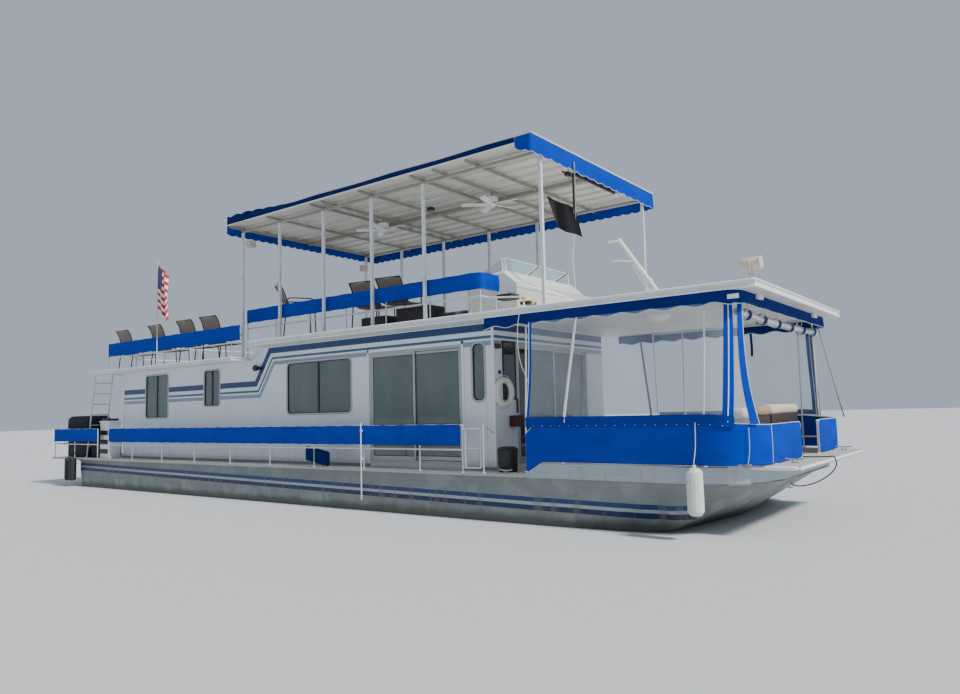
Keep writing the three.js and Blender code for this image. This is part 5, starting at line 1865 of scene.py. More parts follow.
@dataclass
class Rails(Assembly):
    """The side rails, their gates, the aft rail and their blue canvas."""

    y: float = 2.415
    top: float = 1.500
    mid: float = 1.105
    end: float = -6.690
    first: float = -5.597
    pitch: float = 1.349
    count: int = 8
    hinge: float = 4.770
    stile: float = 5.140
    latch: float = 5.190
    brace_y: float = 1.905
    aft: tuple[float, ...] = (-7.340, -8.600, -9.860)
    band: Pair = (1.170, 1.516)

    def side_rails(self) -> None:
        """Builds the fixed side rails."""
        posts = [self.end, *(self.first + k * self.pitch for k in range(self.count)), self.hinge]
        for side in Side:
            y = side.value * self.y
            bars = [[(self.end, y, z), (self.hinge, y, z)] for z in (self.top, self.mid)]
            uprights = [[(x, y, DECK_Z), (x, y, self.top)] for x in posts + [self.latch]]
            inner = side.value * self.brace_y
            brace = [(self.latch, y, self.top - 0.01), (self.latch + 0.02, y, self.top + 0.004),
                     (5.03, inner, self.top - 0.16)]
            thin = [[(x, y, DECK_Z + 0.008) for x in (self.hinge, self.latch)], rounded(brace, 0.05)]
            parts = [pipes(bars, RAIL_TUBE), pipes(uprights, POST_TUBE), pipes(thin, THIN_TUBE)]
            parts += [flange(x, y, DECK_Z) for x in posts + [self.latch]]
            parts += [ball((self.end, y, z), 0.019) for z in (self.top, self.mid)]
            install(smoothed(joined(parts), 50.0), f"side_rail_{side.label}", PALE_PIPE, "pipe",
                    replaces=[f"rail_{side.label}"])

    def gates(self) -> None:
        """Builds the hinged gates at the forward ends of the side rails."""
        low, high = 0.82, 1.44
        post = self.hinge + 0.06
        for side in Side:
            y = side.value * self.y
            outline = [[(post, y, z), (self.stile, y, z)] for z in (low, high)]
            outline += [[(x, y, low), (x, y, high)] for x in (post, self.stile)]
            thin = [[(post, y, 1.13), (self.stile, y, 1.13)]]
            thin += [[(self.hinge + 0.022, y, z), (post, y, z)] for z in (low, high)]
            parts = [pipes(outline, 0.0125), pipes(thin, THIN_TUBE)]
            parts += [hoop((self.hinge, y, z + rise), (0.0, 0.0, 0.0), 0.0190, 0.0045, (24, 8))
                      for z in (low, high) for rise in (0.0, 0.012, -0.012)]
            install(smoothed(joined(parts), 50.0), f"rail_gate_{side.label}", PALE_PIPE, "pipe",
                    f"gate_{side.label}", replaces=[f"gate_{side.label}"])

    def aft_rail(self) -> None:
        """Builds the rail round the aft deck."""
        start, _, stern = self.aft
        corners = [(start, -self.y), (stern, -self.y), (stern, self.y), (start, self.y)]
        bars = [rounded([(x, y, z) for x, y in corners], 0.10, 6) for z in (self.top, self.mid)]
        spots = [(x, s * self.y) for x in self.aft[:2] for s in (-1, 1)]
        spots += [(stern + 0.03, s * (self.y - 0.03)) for s in (-1, 1)] + [(stern, -0.8), (stern, 0.8)]
        uprights = [[(x, y, DECK_Z), (x, y, self.top)] for x, y in spots]
        parts = [pipes(bars, RAIL_TUBE), pipes(uprights, POST_TUBE)]
        parts += [flange(x, y, DECK_Z) for x, y in spots]
        install(smoothed(joined(parts), 50.0), "aft_rail", PALE_PIPE, "pipe", replaces=["rail_aft"])

    def covers(self) -> None:
        """Laces the canvas bands to the rails."""
        for side in Side:
            y = side.value * (self.y + CANVAS_OFF)
            path = outside_right([(self.end - 0.02, y), (self.hinge - 0.04, y)], side)
            phase = 0.02 if side is Side.STARBOARD else 0.0
            piece = band_cloth(path, self.band, self.pitch, phase + self.pitch * 0.5)
            hang(piece, f"side_canvas_{side.label}", BAND_CANVAS, (path.length, 0.346),
                 f"side_rail_{side.label}", replaces=[f"rail_cover_{side.label}"])
        half, stern = self.y + CANVAS_OFF, self.aft[2] - CANVAS_OFF
        corners = [(self.aft[0], half), (stern, half), (stern, -half), (self.aft[0], -half)]
        path = Path([(x, y) for x, y, _ in rounded([(x, y, 0.0) for x, y in corners], 0.12, 5)])
        hang(band_cloth(path, self.band, 1.26), "aft_canvas", BAND_CANVAS, (path.length, 0.346),
             "aft_rail", replaces=["rail_cover_aft"])

    def build(self) -> None:
        """Builds the rails, the gates and their canvas."""
        self.side_rails()
        self.gates()
        self.aft_rail()
        self.covers()


PORCH_FORE = 9.430
PORCH_BEND = 0.600
PORCH_Y = 2.415


def porch_line(
    offset: float, gate_end: float, side: Side, aft: float = 6.010, fore: float = PORCH_FORE,
) -> list[Pair]:
    """The porch rail's line on the deck, moved outwards."""
    arc = quarter(fore - PORCH_BEND, PORCH_Y - PORCH_BEND, PORCH_BEND + offset, 10)
    return mirrored([(aft, PORCH_Y + offset), *arc, (fore + offset, gate_end)], side)


def porch_drop(x: float) -> float:
    """How far the porch rail has dropped at an X, on its way round the corner."""
    return 0.060 * min(max((x - PORCH_FORE) / PORCH_BEND + 1.0, 0.0), 1.0)


@dataclass(frozen=True)
class Lean:
    """A place along the curtain that shifts with its height: at its foot, half way up and at its head."""

    foot: float
    middle: float
    head: float

    def at(self, share: float) -> float:
        """The place at a share of the curtain's height."""
        bend = self.middle - (self.foot + self.head) / 2
        return self.foot + (self.head - self.foot) * share + 4.0 * bend * share * (1.0 - share)


@dataclass
class CurtainPlan:
    """One side's clear curtain: its two edges, its canvas borders and its seams."""

    edges: tuple[Lean, Lean]
    borders: tuple[tuple[Lean, Lean], ...]
    seams: tuple[tuple[Lean, float], ...]
    hem: Pair
    push: float


@dataclass
class Porch(Assembly):
    """The fabric-sided front porch: its frame, canvas, clear curtains and valance."""

    gate: dict[Side, float] = field(default_factory=lambda: {Side.STARBOARD: 0.400, Side.PORT: 0.640})
    second: dict[Side, Pair] = field(
        default_factory=lambda: {Side.STARBOARD: (6.655, 6.900), Side.PORT: (6.57, 6.64)})
    posts: tuple[tuple[float, float, float, float], ...] = (
        (6.010, 2.415, 6.010, 2.320), (8.775, 2.415, 8.820, 2.275), (9.070, 2.357, 9.090, 2.170),
    )
    rail_top: float = 1.500
    rail_mid: float = 1.120
    post_tube: float = 0.0140
    header: float = 3.1835
    canvas_z: Pair = (0.945, 1.516)
    ramp_head: float = 6.30
    ramp_fall: float = 0.58
    tie_pitch: float = 0.30
    panel_end: float = 1.43
    curtain_z: Pair = (1.520, 3.050)
    hem_drop: float = 0.065
    roll: Pair = (9.16, 2.940)
    roll_size: Pair = (2.06, 1.24)
    straps: tuple[float, ...] = (-1.75, -1.05, -0.35, 0.35, 1.05, 1.75)
    curtain_aft: float = 5.600
    plans: dict[Side, CurtainPlan] = field(default_factory=lambda: {
        Side.STARBOARD: CurtainPlan(
            (Lean(0.43, 0.50, 0.53), Lean(3.876, 3.862, 3.982)),
            ((Lean(0.43, 0.50, 0.53), Lean(0.47, 0.54, 0.57)),
             (Lean(3.416, 3.556, 3.694), Lean(3.55, 3.694, 3.818)),
             (Lean(3.758, 3.77, 3.90), Lean(3.876, 3.862, 3.982))),
            ((Lean(0.425, 0.495, 0.525), 0.0065), (Lean(1.10, 1.25, 1.41), 0.008),
             (Lean(3.483, 3.625, 3.756), 0.009), (Lean(3.876, 3.862, 3.982), 0.0065)),
            (0.42, 3.56), 0.05,
        ),
        Side.PORT: CurtainPlan(
            (Lean(0.23, 0.165, 0.10), Lean(4.01, 4.06, 3.95)),
            ((Lean(0.23, 0.165, 0.10), Lean(0.27, 0.205, 0.14)),
             (Lean(3.346, 3.44, 3.528), Lean(3.474, 3.59, 3.702)),
             (Lean(3.97, 4.02, 3.91), Lean(4.01, 4.06, 3.95))),
            ((Lean(0.225, 0.16, 0.095), 0.0065), (Lean(3.41, 3.515, 3.615), 0.009)),
            (0.42, 3.48), 0.14,
        ),
    })
    valance: Pair = (3.0347, 3.1997)
    valance_line: tuple[float, float, float, float] = (2.352, 9.290, 5.220, 0.250)
    scallop_change: float = 9.2
    front_scallop: float = 0.17
    side_scallop: float = 0.44

    def floor_at(self, x: float) -> float:
        """The deck's height at an X, on or ahead of the ramp."""
        share = (x - RAMP[0]) / (RAMP[1] - RAMP[0])
        return DECK_Z + (BOW_Z - DECK_Z) * min(share, 1.0)

    def pipework(self) -> None:
        """Builds the low rail, the posts up to the roof and the header pipe."""
        thick, thin, parts = [], [], []
        for side in Side:
            gate_end = self.gate[side]
            line = porch_line(0.0, gate_end, side)
            thick.append([(x, y, self.rail_top - porch_drop(x)) for x, y in line])
            thick.append([(x, y, self.rail_mid) for x, y in line])
            low, high = self.second[side]
            posts = [*self.posts, (low, PORCH_Y, high, 2.320)]
            spots = [(x, y) for x, y, _, _ in posts if x < 9.0]
            spots += [(PORCH_FORE, 1.7), (PORCH_FORE, gate_end + 0.012)]
            for x, y in mirrored(spots, side):
                floor = self.floor_at(x + 0.016)
                thin.append([(x, y, floor), (x, y, self.rail_top - porch_drop(x))])
                parts.append(flange(x, y, floor))
            for x, y, top_x, top_y in posts:
                thin.append([(x, side.value * y, self.rail_top - porch_drop(x)),
                             (top_x, side.value * top_y, self.header)])
        half = [(6.0, 2.32), (8.71, 2.32), (9.094, 2.16)]
        loop = [*mirrored(half, Side.STARBOARD), *reversed(half)]
        thick.append(rounded([(x, y, self.header) for x, y in loop], 0.12))
        parts += [pipes(thick, RAIL_TUBE), pipes(thin, self.post_tube)]
        install(smoothed(joined(parts), 50.0), "porch_pipework", WHITE_POST, "pipe", replaces=["porch_frame"])

    def low_canvas(self) -> None:
        """Stretches the tall canvas round the low rail, cut to the ramp at its aft end."""
        foot_z, head_z = self.canvas_z
        tall = head_z - foot_z
        for side in Side:
            path = Path(porch_line(0.0205, self.gate[side], side))
            sign = side.value

            def place(along: float, up: float, path: Path = path, sign: int = sign) -> Point:
                """The cloth's point at its own distances.

                Args:
                    along: The distance along it.
                    up: The distance up it.
                    path: The line that the cloth follows.
                    sign: The side of the boat, as a sign.

                Returns:
                    The point.
                """
                spot = path.at(along)
                out = path.outward(along) * -sign
                cut = max(0.0, 1.0 - along / 0.16)
                turned = max(0.0, 1.0 - (path.length - along) / 0.06)
                low = foot_z - max(0.0, self.ramp_head - spot.x) * self.ramp_fall
                high = head_z - porch_drop(spot.x) - 0.16 * cut - 0.04 * turned ** 2
                share = up / tall
                sag = 0.004 * abs(math.sin(along / self.tie_pitch * math.pi)) * share ** 6
                belly = 0.007 * math.sin(along * 2.1) ** 2 * math.sin(math.pi * share)
                return (spot.x + out.x * belly, spot.y + out.y * belly, low + (high - low) * share - sag)

            piece = cloth(place, (path.length, tall), (72, 10), 0.003)
            hang(piece, f"porch_canvas_{side.label}", TALL_CANVAS, (path.length, tall), "porch_pipework",
                 replaces=[f"porch_cover_{side.label}"])
            edges = [[place(path.length * k / 60, tall) for k in range(61)] + [place(path.length, 0.0)]]
            if side is Side.STARBOARD:
                edges.append([place(path.length - self.panel_end, tall * k / 6) for k in range(7)])
                clip = [block((9.215, -2.325, 0.925), (9.285, -2.265, 0.965), 0.008),
                        pipes([[(9.16, -2.33, 0.955), (9.25, -2.30, 0.945), (9.31, -2.26, 0.955)]], 0.011)]
                install(smoothed(joined(clip)), "canvas_clip", DARK_STEEL, "metal")
            install(pipes(edges, 0.0055, 1), f"porch_canvas_piping_{side.label}", PIPING, "blue_fabric")

    def curtains(self) -> None:
        """Hangs the clear curtains with their canvas borders, seams and hems."""
        foot_z, high = self.curtain_z
        tall = high - foot_z
        for side in Side:
            plan = self.plans[side]
            foot = Path(porch_line(0.020, 1.45, side, self.curtain_aft))
            head = Path(porch_line(-0.040, 1.505, side, self.curtain_aft, 9.32))

            def place(along: float, share: float, out_by: float = 0.0, foot: Path = foot, head: Path = head,
                      side: Side = side, plan: CurtainPlan = plan) -> Point:
                """The curtain's point at a distance along its foot and a share of its height.

                Args:
                    along: The distance along it.
                    share: The share of its height, from the foot.
                    out_by: How far it stands outside the clear sheet.
                    foot: The line of its foot.
                    head: The line of its head.
                    side: The side of the boat.
                    plan: The measures of that side.

                Returns:
                    The point.
                """
                start = foot.at(along)
                spot = start.lerp(head.at(along / foot.length * head.length), share)
                flare = max(0.0, along - 3.0)
                out = foot.outward(along) * -side.value
                push = plan.push * flare ** 2 * (1 - share) ** 2
                ripple = 0.008 * math.sin(along * 6.0 + share * 4.0) * math.sin(math.pi * share)
                low = foot_z - porch_drop(start.x)
                away = push + ripple + out_by
                return (spot.x + out.x * away, spot.y + out.y * away, low + (high - low) * share)

            def strip(start: Lean, end: Lean, out_by: float, cells: int, thick: float,
                      place: Callable = place) -> tuple[Piece, float]:
                """A strip of the curtain between two leaning lines, and its width half way up.

                Args:
                    start: The line at its start.
                    end: The line at its end.
                    out_by: How far it stands outside the clear sheet.
                    cells: The cells along it.
                    thick: Its thickness.
                    place: Gives the curtain's points.

                Returns:
                    The strip and its width.
                """
                width = end.at(0.5) - start.at(0.5)

                def spot(along: float, up: float) -> Point:
                    """The strip's point at its own distances.

                    Args:
                        along: The distance along it.
                        up: The distance up it.

                    Returns:
                        The point.
                    """
                    share = up / tall
                    first, last = start.at(share), end.at(share)
                    return place(first + (last - first) * along / width, share, out_by)

                return cloth(spot, (width, tall), (cells, 24), thick), width

            sheet, width = strip(*plan.edges, 0.0, 60, 0.0012)
            strips = [strip(*ends, 0.003, 4, 0.002) for ends in plan.borders]
            install(sheet, f"clear_curtain_{side.label}", CLEAR, "clear_vinyl",
                    replaces=[f"curtain_{side.label}"])
            border = install(joined([piece for piece, _ in strips]), f"curtain_borders_{side.label}",
                             BORDER_CANVAS, "blue_fabric")
            start, end = plan.hem

            def hem(along: float, up: float, start: float = start, place: Callable = place) -> Point:
                """The hem's point: it laps over the rail's canvas and is snapped to it."""
                x, y, z = place(start + along, 0.0, 0.010 + 0.002 * math.sin(along * 5.0))
                return (x, y, z - self.hem_drop + up)

            size = (end - start, 0.15)
            piece = cloth(hem, size, (60, 4), 0.002)
            hang(piece, f"curtain_hem_{side.label}", HEM_CANVAS, size, sheet, "hung")
            for finish, name, thin in ((WHITE_TRIM, "seams", False), (PIPING, "piping", True)):
                runs = [([place(line.at(k / 20), k / 20, 0.006) for k in range(21)], radius)
                        for line, radius in plan.seams if (radius > 0.007) is not thin]
                if runs:
                    lines = pipes([run for run, _ in runs], runs[0][1], 1)
                    install(lines, f"curtain_{name}_{side.label}", finish, "blue_fabric")

    def rolled_curtain(self) -> None:
        """Rolls the front curtain up under the valance and straps it."""
        (x, z), (half, tall) = self.roll, self.roll_size
        ring, width, round_it = 0.076, 0.10, 0.48

        def place(along: float, up: float) -> Point:
            """The rolled sheet's point: a spiral that sags between its straps.

            Args:
                along: The distance along it.
                up: The distance up it.

            Returns:
                The point.
            """
            y = along - half
            turn = up / tall * 2 * math.pi * 3.4
            radius = 0.026 + 0.038 * up / tall + 0.004 * math.sin(along * 5.0)
            sag = 0.030 * (1 - (y / half) ** 2) + 0.006 * math.sin(along * 8.0)
            return (x + radius * math.cos(turn), y, z - sag + radius * math.sin(turn))

        size = (2 * half, tall)
        roll = cloth(place, size, (44, 96), 0.0012)
        install(roll, "rolled_curtain", ROLLED_CLEAR, "clear_vinyl")
        straps, ties = [], []
        for y in self.straps:
            dip = 0.030 * (1 - (y / half) ** 2)

            def band(along: float, up: float, y: float = y, dip: float = dip) -> Point:
                """A strap's point, round the roll."""
                angle = along / round_it * 2 * math.pi
                return (x + ring * math.cos(angle), y + up, z - dip + ring * math.sin(angle))

            straps.append(cloth(band, (round_it, width), (24, 2), 0.002))
            ties.append([(x + 0.02, y + 0.05, z - dip + 0.07), (x + 0.05, y + 0.05, 3.16)])
        canvas = install(joined(straps), "curtain_straps", DARK_CANVAS, "blue_fabric")
        install(pipes(ties, 0.006, 1), "curtain_ties", WHITE_CORDAGE, "white_line")

    def brackets(self) -> None:
        """Screws the white curtain brackets to the roof's front edge and hangs a dark strap."""
        parts = [block((9.294, y, 3.135), (9.345, y + 0.20, 3.195), 0.006) for y in (-1.66, 1.30)]
        parts.append(block((9.150, -2.372, 3.075), (9.300, -2.358, 3.135), 0.004))
        install(joined(parts), "curtain_brackets", WHITE_TRIM, "roof")

        def strap(along: float, up: float) -> Point:
            """The strap's point: it hangs inside the port curtain."""
            return (7.955 + along + 0.01 * math.sin(up * 6.0), 2.29, 3.04 - up)

        size = (0.045, 0.43)
        hang(cloth(strap, size, (2, 10), 0.003), "porch_strap", DARK_CANVAS, size, "porch_pipework", "hung")

    def valance_cloth(self) -> None:
        """Hangs the scalloped valance under the roof's edge, with its pale piping."""
        half, fore, aft, bend = self.valance_line
        port = [(aft, half), *quarter(fore - bend, half - bend, bend, 8)]
        path = Path([*mirrored(port, Side.STARBOARD), *reversed(port)])
        low, high = self.valance

        def place(along: float, up: float) -> Point:
            """The valance's point at its own distances.

            Args:
                along: The distance along it.
                up: The distance up it.

            Returns:
                The point.
            """
            share = up / (high - low)
            spot, out = path.at(along), path.outward(along)
            hang = (0.010 + 0.006 * math.sin(along * 9.0)) * (1 - share)
            if spot.x > self.scallop_change:
                bottom = low - 0.004 - 0.024 * abs((along / self.front_scallop) % 1.0 - 0.5)
            else:
                bottom = low - 0.004 - 0.020 * math.cos(2 * math.pi * along / self.side_scallop)
            return (spot.x + out.x * hang, spot.y + out.y * hang, bottom + (high - bottom) * share)

        size, count = (path.length, high - low), int(path.length / 0.036)
        hang(cloth(place, size, (count, 5), 0.003), "porch_skirt", VALANCE_CANVAS, size, "roof_main", "hung",
             replaces=["porch_valance"])
        trim = [place(path.length * k / count, 0.0) for k in range(count + 1)]
        install(pipes([trim], 0.006, 1), "porch_skirt_piping", PIPING, "blue_fabric")

    def build(self) -> None:
        """Builds the porch."""
        self.pipework()
        self.low_canvas()
        self.curtains()
        self.rolled_curtain()
        self.brackets()
        self.valance_cloth()


@dataclass
class UpperDecks(Assembly):
    """The rails on both roofs, their canvas, and the ladder."""

    low_y: float = 2.300
    low_x: Pair = (-7.040, -1.680)
    low_reach: float = -1.350
    low_z: Pair = (3.330, 3.684)
    top_y: float = 1.800
    top_x: tuple[float, ...] = (-1.800, -0.800, 0.300, 1.400, 2.500, 3.600, 4.750)
    top_z: Pair = (3.680, 4.084)
    top_inner: float = 1.290
    staff: Point = (-4.640, -2.346, 5.550)

    def low_rail(self) -> None:
        """Builds the rail on the low roof and its flagstaff."""
        mid, top = self.low_z
        aft, fore = self.low_x
        xs = [aft + k * (fore - aft) / 4 for k in range(5)]
        bars, uprights = [], []
        for side in Side:
            y = side.value * self.low_y
            bars += [[(aft, y, z), (self.low_reach, y, z)] for z in (mid, top)]
            uprights += [[(x, y, LOW_ROOF_Z), (x, y, top)] for x in xs]
        bars += [[(aft, -1.56, z), (aft, self.low_y, z)] for z in (mid, top)]
        uprights += [[(aft, y, LOW_ROOF_Z), (aft, y, top)] for y in (-1.56, 0.0)]
        parts = [pipes(bars, RAIL_TUBE), pipes(uprights, POST_TUBE)]
        parts += [flange(*run[0]) for run in uprights]
        x, y, tip = self.staff
        parts.append(drum((x, y, LOW_ROOF_Z), (x, y, tip - 0.03), 0.0125, 20, 0.009))
        parts.append(ball((x, y, tip - 0.018), 0.018))
        parts += [hoop((x, y, z), (0.0, 0.0, 0.0), 0.015, 0.005, (20, 8)) for z in (mid, top)]
        parts.append(pipes([[(x, y, z), (x, -self.low_y, z)] for z in (mid, top)], 0.008))
        install(smoothed(joined(parts), 50.0), "low_roof_rail", PALE_PIPE, "pipe", replaces=["upper_rail"])

    def high_rail(self) -> None:
        """Builds the rail on the main roof."""
        mid, top = self.top_z
        bars, uprights = [], []
        for side in Side:
            y, inner = side.value * self.top_y, side.value * self.top_inner
            corners = ((self.top_x[0], y), (self.top_x[-1], y), (self.top_x[-1], inner))
            bars += [rounded([(*corner, z) for corner in corners], 0.08) for z in (mid, top)]
            for x in self.top_x:
                floor = LOW_ROOF_Z if x < -1.58 else MAIN_ROOF_Z
                spot = (min(x, 4.72), y - side.value * (0.03 if x > 4.7 else 0.0))
                uprights.append([(*spot, floor), (*spot, top)])
            uprights.append([(self.top_x[-1], inner, z) for z in (MAIN_ROOF_Z, top)])
        parts = [pipes(bars, RAIL_TUBE), pipes(uprights, POST_TUBE)]
        parts += [flange(*run[0]) for run in uprights]
        install(smoothed(joined(parts), 50.0), "main_roof_rail", PALE_PIPE, "pipe", replaces=["top_rail"])

    def covers(self) -> None:
        """Laces the canvas to both rails."""
        fore = self.top_x[-1] + CANVAS_OFF
        for side in Side:
            y = side.value * (self.low_y + CANVAS_OFF)
            path = outside_right([(self.low_x[0], y), (self.low_reach, y)], side)
            hang(band_cloth(path, (3.36, 3.70), 1.30), f"low_roof_canvas_{side.label}", BAND_CANVAS,
                 (path.length, 0.34), "low_roof_rail", replaces=[f"upper_cover_{side.label}"])
            y = side.value * (self.top_y + CANVAS_OFF)
            ends = [(self.top_x[0], y, 0.0), (fore, y, 0.0), (fore, side.value * self.top_inner, 0.0)]
            path = outside_right([(a, b) for a, b, _ in rounded(ends, 0.10, 5)], side)
            hang(band_cloth(path, (3.80, 4.10), 1.10), f"main_roof_canvas_{side.label}", BAND_CANVAS,
                 (path.length, 0.30), "main_roof_rail", replaces=[f"top_cover_{side.label}"])

    def ladder(self) -> None:
        """Builds the ladder from the aft deck to the low roof."""
        foot, head = Vector((-8.420, 0.0, 0.752)), Vector((-7.996, 0.0, 3.010))
        sides = (-2.180, -1.720)
        rails = [[(foot.x, y, foot.z), (head.x, y, head.z)] for y in sides]
        steps = [foot.lerp(head, k / 8) for k in range(1, 8)]
        rungs = [[(spot.x, y, spot.z) for y in sides] for spot in steps]
        pads = [block((foot.x - 0.035, y - 0.028, 0.741), (foot.x + 0.035, y + 0.028, 0.762), 0.004)
                for y in sides]
        parts = [pipes(rails, 0.018), pipes(rungs, 0.0135), *pads]
        install(smoothed(joined(parts), 50.0), "roof_ladder", PALE_PIPE, "pipe", replaces=["ladder"])

    def build(self) -> None:
        """Builds the rails, canvas and ladder."""
        self.low_rail()
        self.high_rail()
        self.covers()
        self.ladder()


@dataclass
class Canopy(Assembly):
    """The roof over the upper deck, its scalloped skirt, fans and speakers."""

    x: Pair = (-1.890, 6.160)
    half: float = 2.270
    under: float = 5.950
    top: float = 6.090
    skirt_low: float = 5.745
    skirt_off: float = 0.0034
    skirt_turn: float = 0.30
    front_scallop: float = 0.29
    side_scallop: float = 0.205
    blown_tall: float = 0.16
    fans: tuple[tuple[str, float], ...] = (("fan_fore", 4.094), ("fan_aft", 1.183))
    fan_y: float = -0.5
    blades: int = 5
    blade_z: float = 5.6675
    twist: float = 0.21
    pole: Point = (6.176, -1.0, 5.09)
    pole_low: Point = (6.175, -1.0, 4.694)

    def skirt(self) -> None:
        """Hangs the skirt round three sides and stands its blown-up strip along the fourth."""
        off, turn = self.skirt_off, self.skirt_turn
        aft, fore, half = self.x[0] - off, self.x[1] + off, self.half + off
        path = Path([(fore - turn, -half), (fore, -half), (fore, half), (aft, half), (aft, -half)])
        high = self.top - 0.03
        tall = high - self.skirt_low
        front = (turn, turn + 2 * half)

        def place(along: float, up: float) -> Point:
            """The skirt's point at its own distances.

            Args:
                along: The distance along it.
                up: The distance up it.

            Returns:
                The point.
            """
            spot, out = path.at(along), path.outward(along)
            share = up / tall
            pitch = self.front_scallop if front[0] < along < front[1] else self.side_scallop
            scallop = 1 - abs(math.sin(math.pi * along / pitch)) ** 0.6
            bottom = self.skirt_low + 0.036 * scallop + max(0.0, turn - along) * 0.35
            hang = (0.008 + 0.014 * math.sin(along * 5.0) ** 2) * (1 - share)
            return (spot.x + out.x * hang, spot.y + out.y * hang, bottom + (high - bottom) * share)

        count = int(path.length / 0.026)
        size = (path.length, tall)
        hang(cloth(place, size, (count, 6), 0.003), "canopy_skirt", SKIRT_CANVAS, size, "canopy_roof", "hung",
             replaces=["canopy_valance"])
        trim = [place(path.length * k / count, 0.0) for k in range(count + 1)]
        install(pipes([trim], 0.0045, 1), "canopy_skirt_piping", PIPING, "blue_fabric")
        start, wide = fore - 0.31, self.blown_tall
        run = start - aft

        def strip(along: float, up: float) -> Point:
            """The blown-up strip's point: flat on the roof's edge, and standing up at its aft end.

            Args:
                along: The distance along it.
                up: The distance up it.

            Returns:
                The point.
            """
            x, share = start - along, up / wide
            flip = max(0.0, min(1.0, (0.40 - x) / 1.7))
            wave = abs(math.sin(math.pi * along / 0.38)) ** 0.7
            low = 5.972 - 0.030 * flip
            rise = 0.088 + 0.006 * math.sin(along * 3.0) + flip * (0.095 + 0.042 * wave)
            return (x, -half - 0.003 - 0.010 * share * (1 - share), low + rise * share)

        # The strip is the skirt's own cloth; its darker canvas is painted shade on the shaded side
        hang(cloth(strip, (run, wide), (int(run / 0.035), 5), 0.003), "canopy_skirt_blown", DARK_CANVAS,
             (run, wide), "canopy_roof", area=run * 0.13)

    def edge_trim(self) -> None:
        """Caps the roof's edges with a pale angle strip."""
        fore, aft, half = self.x[1], self.x[0], self.half
        runs = [[(fore + 0.006, -half, 6.075), (fore + 0.006, half, 6.075)],
                [(5.86, -half - 0.004, 5.960), (aft, -half - 0.004, 5.960)],
                [(aft - 0.004, -half, 6.072), (aft - 0.004, half, 6.072)],
                [(aft, half + 0.004, 6.072), (fore, half + 0.004, 6.072)]]
        install(pipes(runs, 0.014, 2), "canopy_edge_trim", CREAM_TRIM, "roof")

    def ceiling_fans(self) -> None:
        """Models the fans: a motor cap on the frame, and a turning hub with shaped blades."""
        for name, x in self.fans:
            y = self.fan_y
            blades = []
            for k in range(self.blades):
                blade = box((0.10, -0.062, -0.004), (0.59, 0.062, 0.004))
                arm = box((0.05, -0.018, -0.006), (0.16, 0.018, 0.000))
                joint = joined([eased(blade, 0.0035), arm])
                around = Matrix.Rotation(2 * math.pi * k / self.blades, 4, "Z")
                turn = Matrix.Translation((x, y, self.blade_z)) @ around @ Matrix.Rotation(self.twist, 4, "X")
                joint.data.transform(turn)
                blades.append(joint)
            hub = [drum((x, y, 5.655), (x, y, 5.682), 0.092, 40), ball((x, y, 5.652), 0.06, (1.0, 1.0, 0.55)),
                   drum((x, y, 5.68), (x, y, 5.6895), 0.032, 24)]
            rotor = smoothed(joined([*blades, *hub]))
            install(rotor, f"{name}_rotor", GELCOAT, "gelcoat", name, replaces=[name])
            cap = [drum((x, y, 5.692), (x, y, 5.80), 0.115, 40),
                   drum((x, y, 5.795), (x, y, 5.83), 0.112, 40, 0.05)]
            install(smoothed(eased(joined(cap), 0.006)), f"{name}_motor", GELCOAT, "gelcoat")

    def fittings(self) -> None:
        """Adds the speakers, the tube light and the junction box."""
        speakers = [block((-1.80, -1.86, 5.53), (-1.66, -1.68, 5.67), 0.012),
                    block((-1.80, 1.62, 5.44), (-1.66, 1.80, 5.60), 0.012)]
        install(joined(speakers), "speakers", TAN_BOX, "gelcoat")
        tube = [drum((6.10, -0.78, 5.745), (6.10, 0.66, 5.745), 0.022, 20),
                block((6.072, -0.80, 5.755), (6.128, 0.68, 5.800), 0.006)]
        tube += [pipes([[(6.10, y, 5.79), (6.10, y, 5.87)]], 0.012) for y in (-0.60, 0.50)]
        install(smoothed(joined(tube)), "tube_light", DARK_PLASTIC, "black_plastic")
        clamp = [block((6.06, -1.10, 5.66), (6.13, -0.92, 5.74), 0.01),
                 pipes([[(6.188, -1.0, 5.69), (6.10, -1.02, 5.70), (6.02, -1.10, 5.76)]], 0.016),
                 drum((6.188, -1.0, 5.70), self.pole, 0.0245, 20, 0.021)]
        install(smoothed(joined(clamp)), "flag_pole_sleeve", DARK_PAINT, "black_plastic")
        tip = block((6.08, 0.70, 5.72), (6.12, 0.80, 5.82), 0.008)
        install(tip, "tube_light_end", WHITE_TRIM, "roof")
        knot = block((2.57, -0.66, 5.80), (2.69, -0.54, 5.87), 0.01)
        install(knot, "junction_box", DARK_PLASTIC, "black_plastic")
        tail = curve_through([self.pole, (6.165, -1.0, 4.88), self.pole_low], 4)
        install(pipes([tail], 0.010, 1), "flag_lanyard", TAN_CORDAGE, "white_line")
        slack = [self.pole_low, (6.118, -1.0, 4.24), (6.14, -1.0, 3.85), (6.171, -1.0, 3.62)]
        halyard = curve_through(slack, 5)
        install(pipes([halyard], 0.006, 1), "halyard", WHITE_CORDAGE, "white_line")

    def build(self) -> None:
        """Dresses the canopy and adds its parts."""
        self.paint(CANOPY_POST, "canopy_side_starboard", "canopy_side_port")
        # The frame's beams take the grey-brown painted shade
        self.paint(SHADED_BEAM, "canopy_frame")
        self.paint(CANOPY_ROOF, "canopy_roof")
        self.skirt()
        self.edge_trim()
        self.ceiling_fans()
        self.fittings()


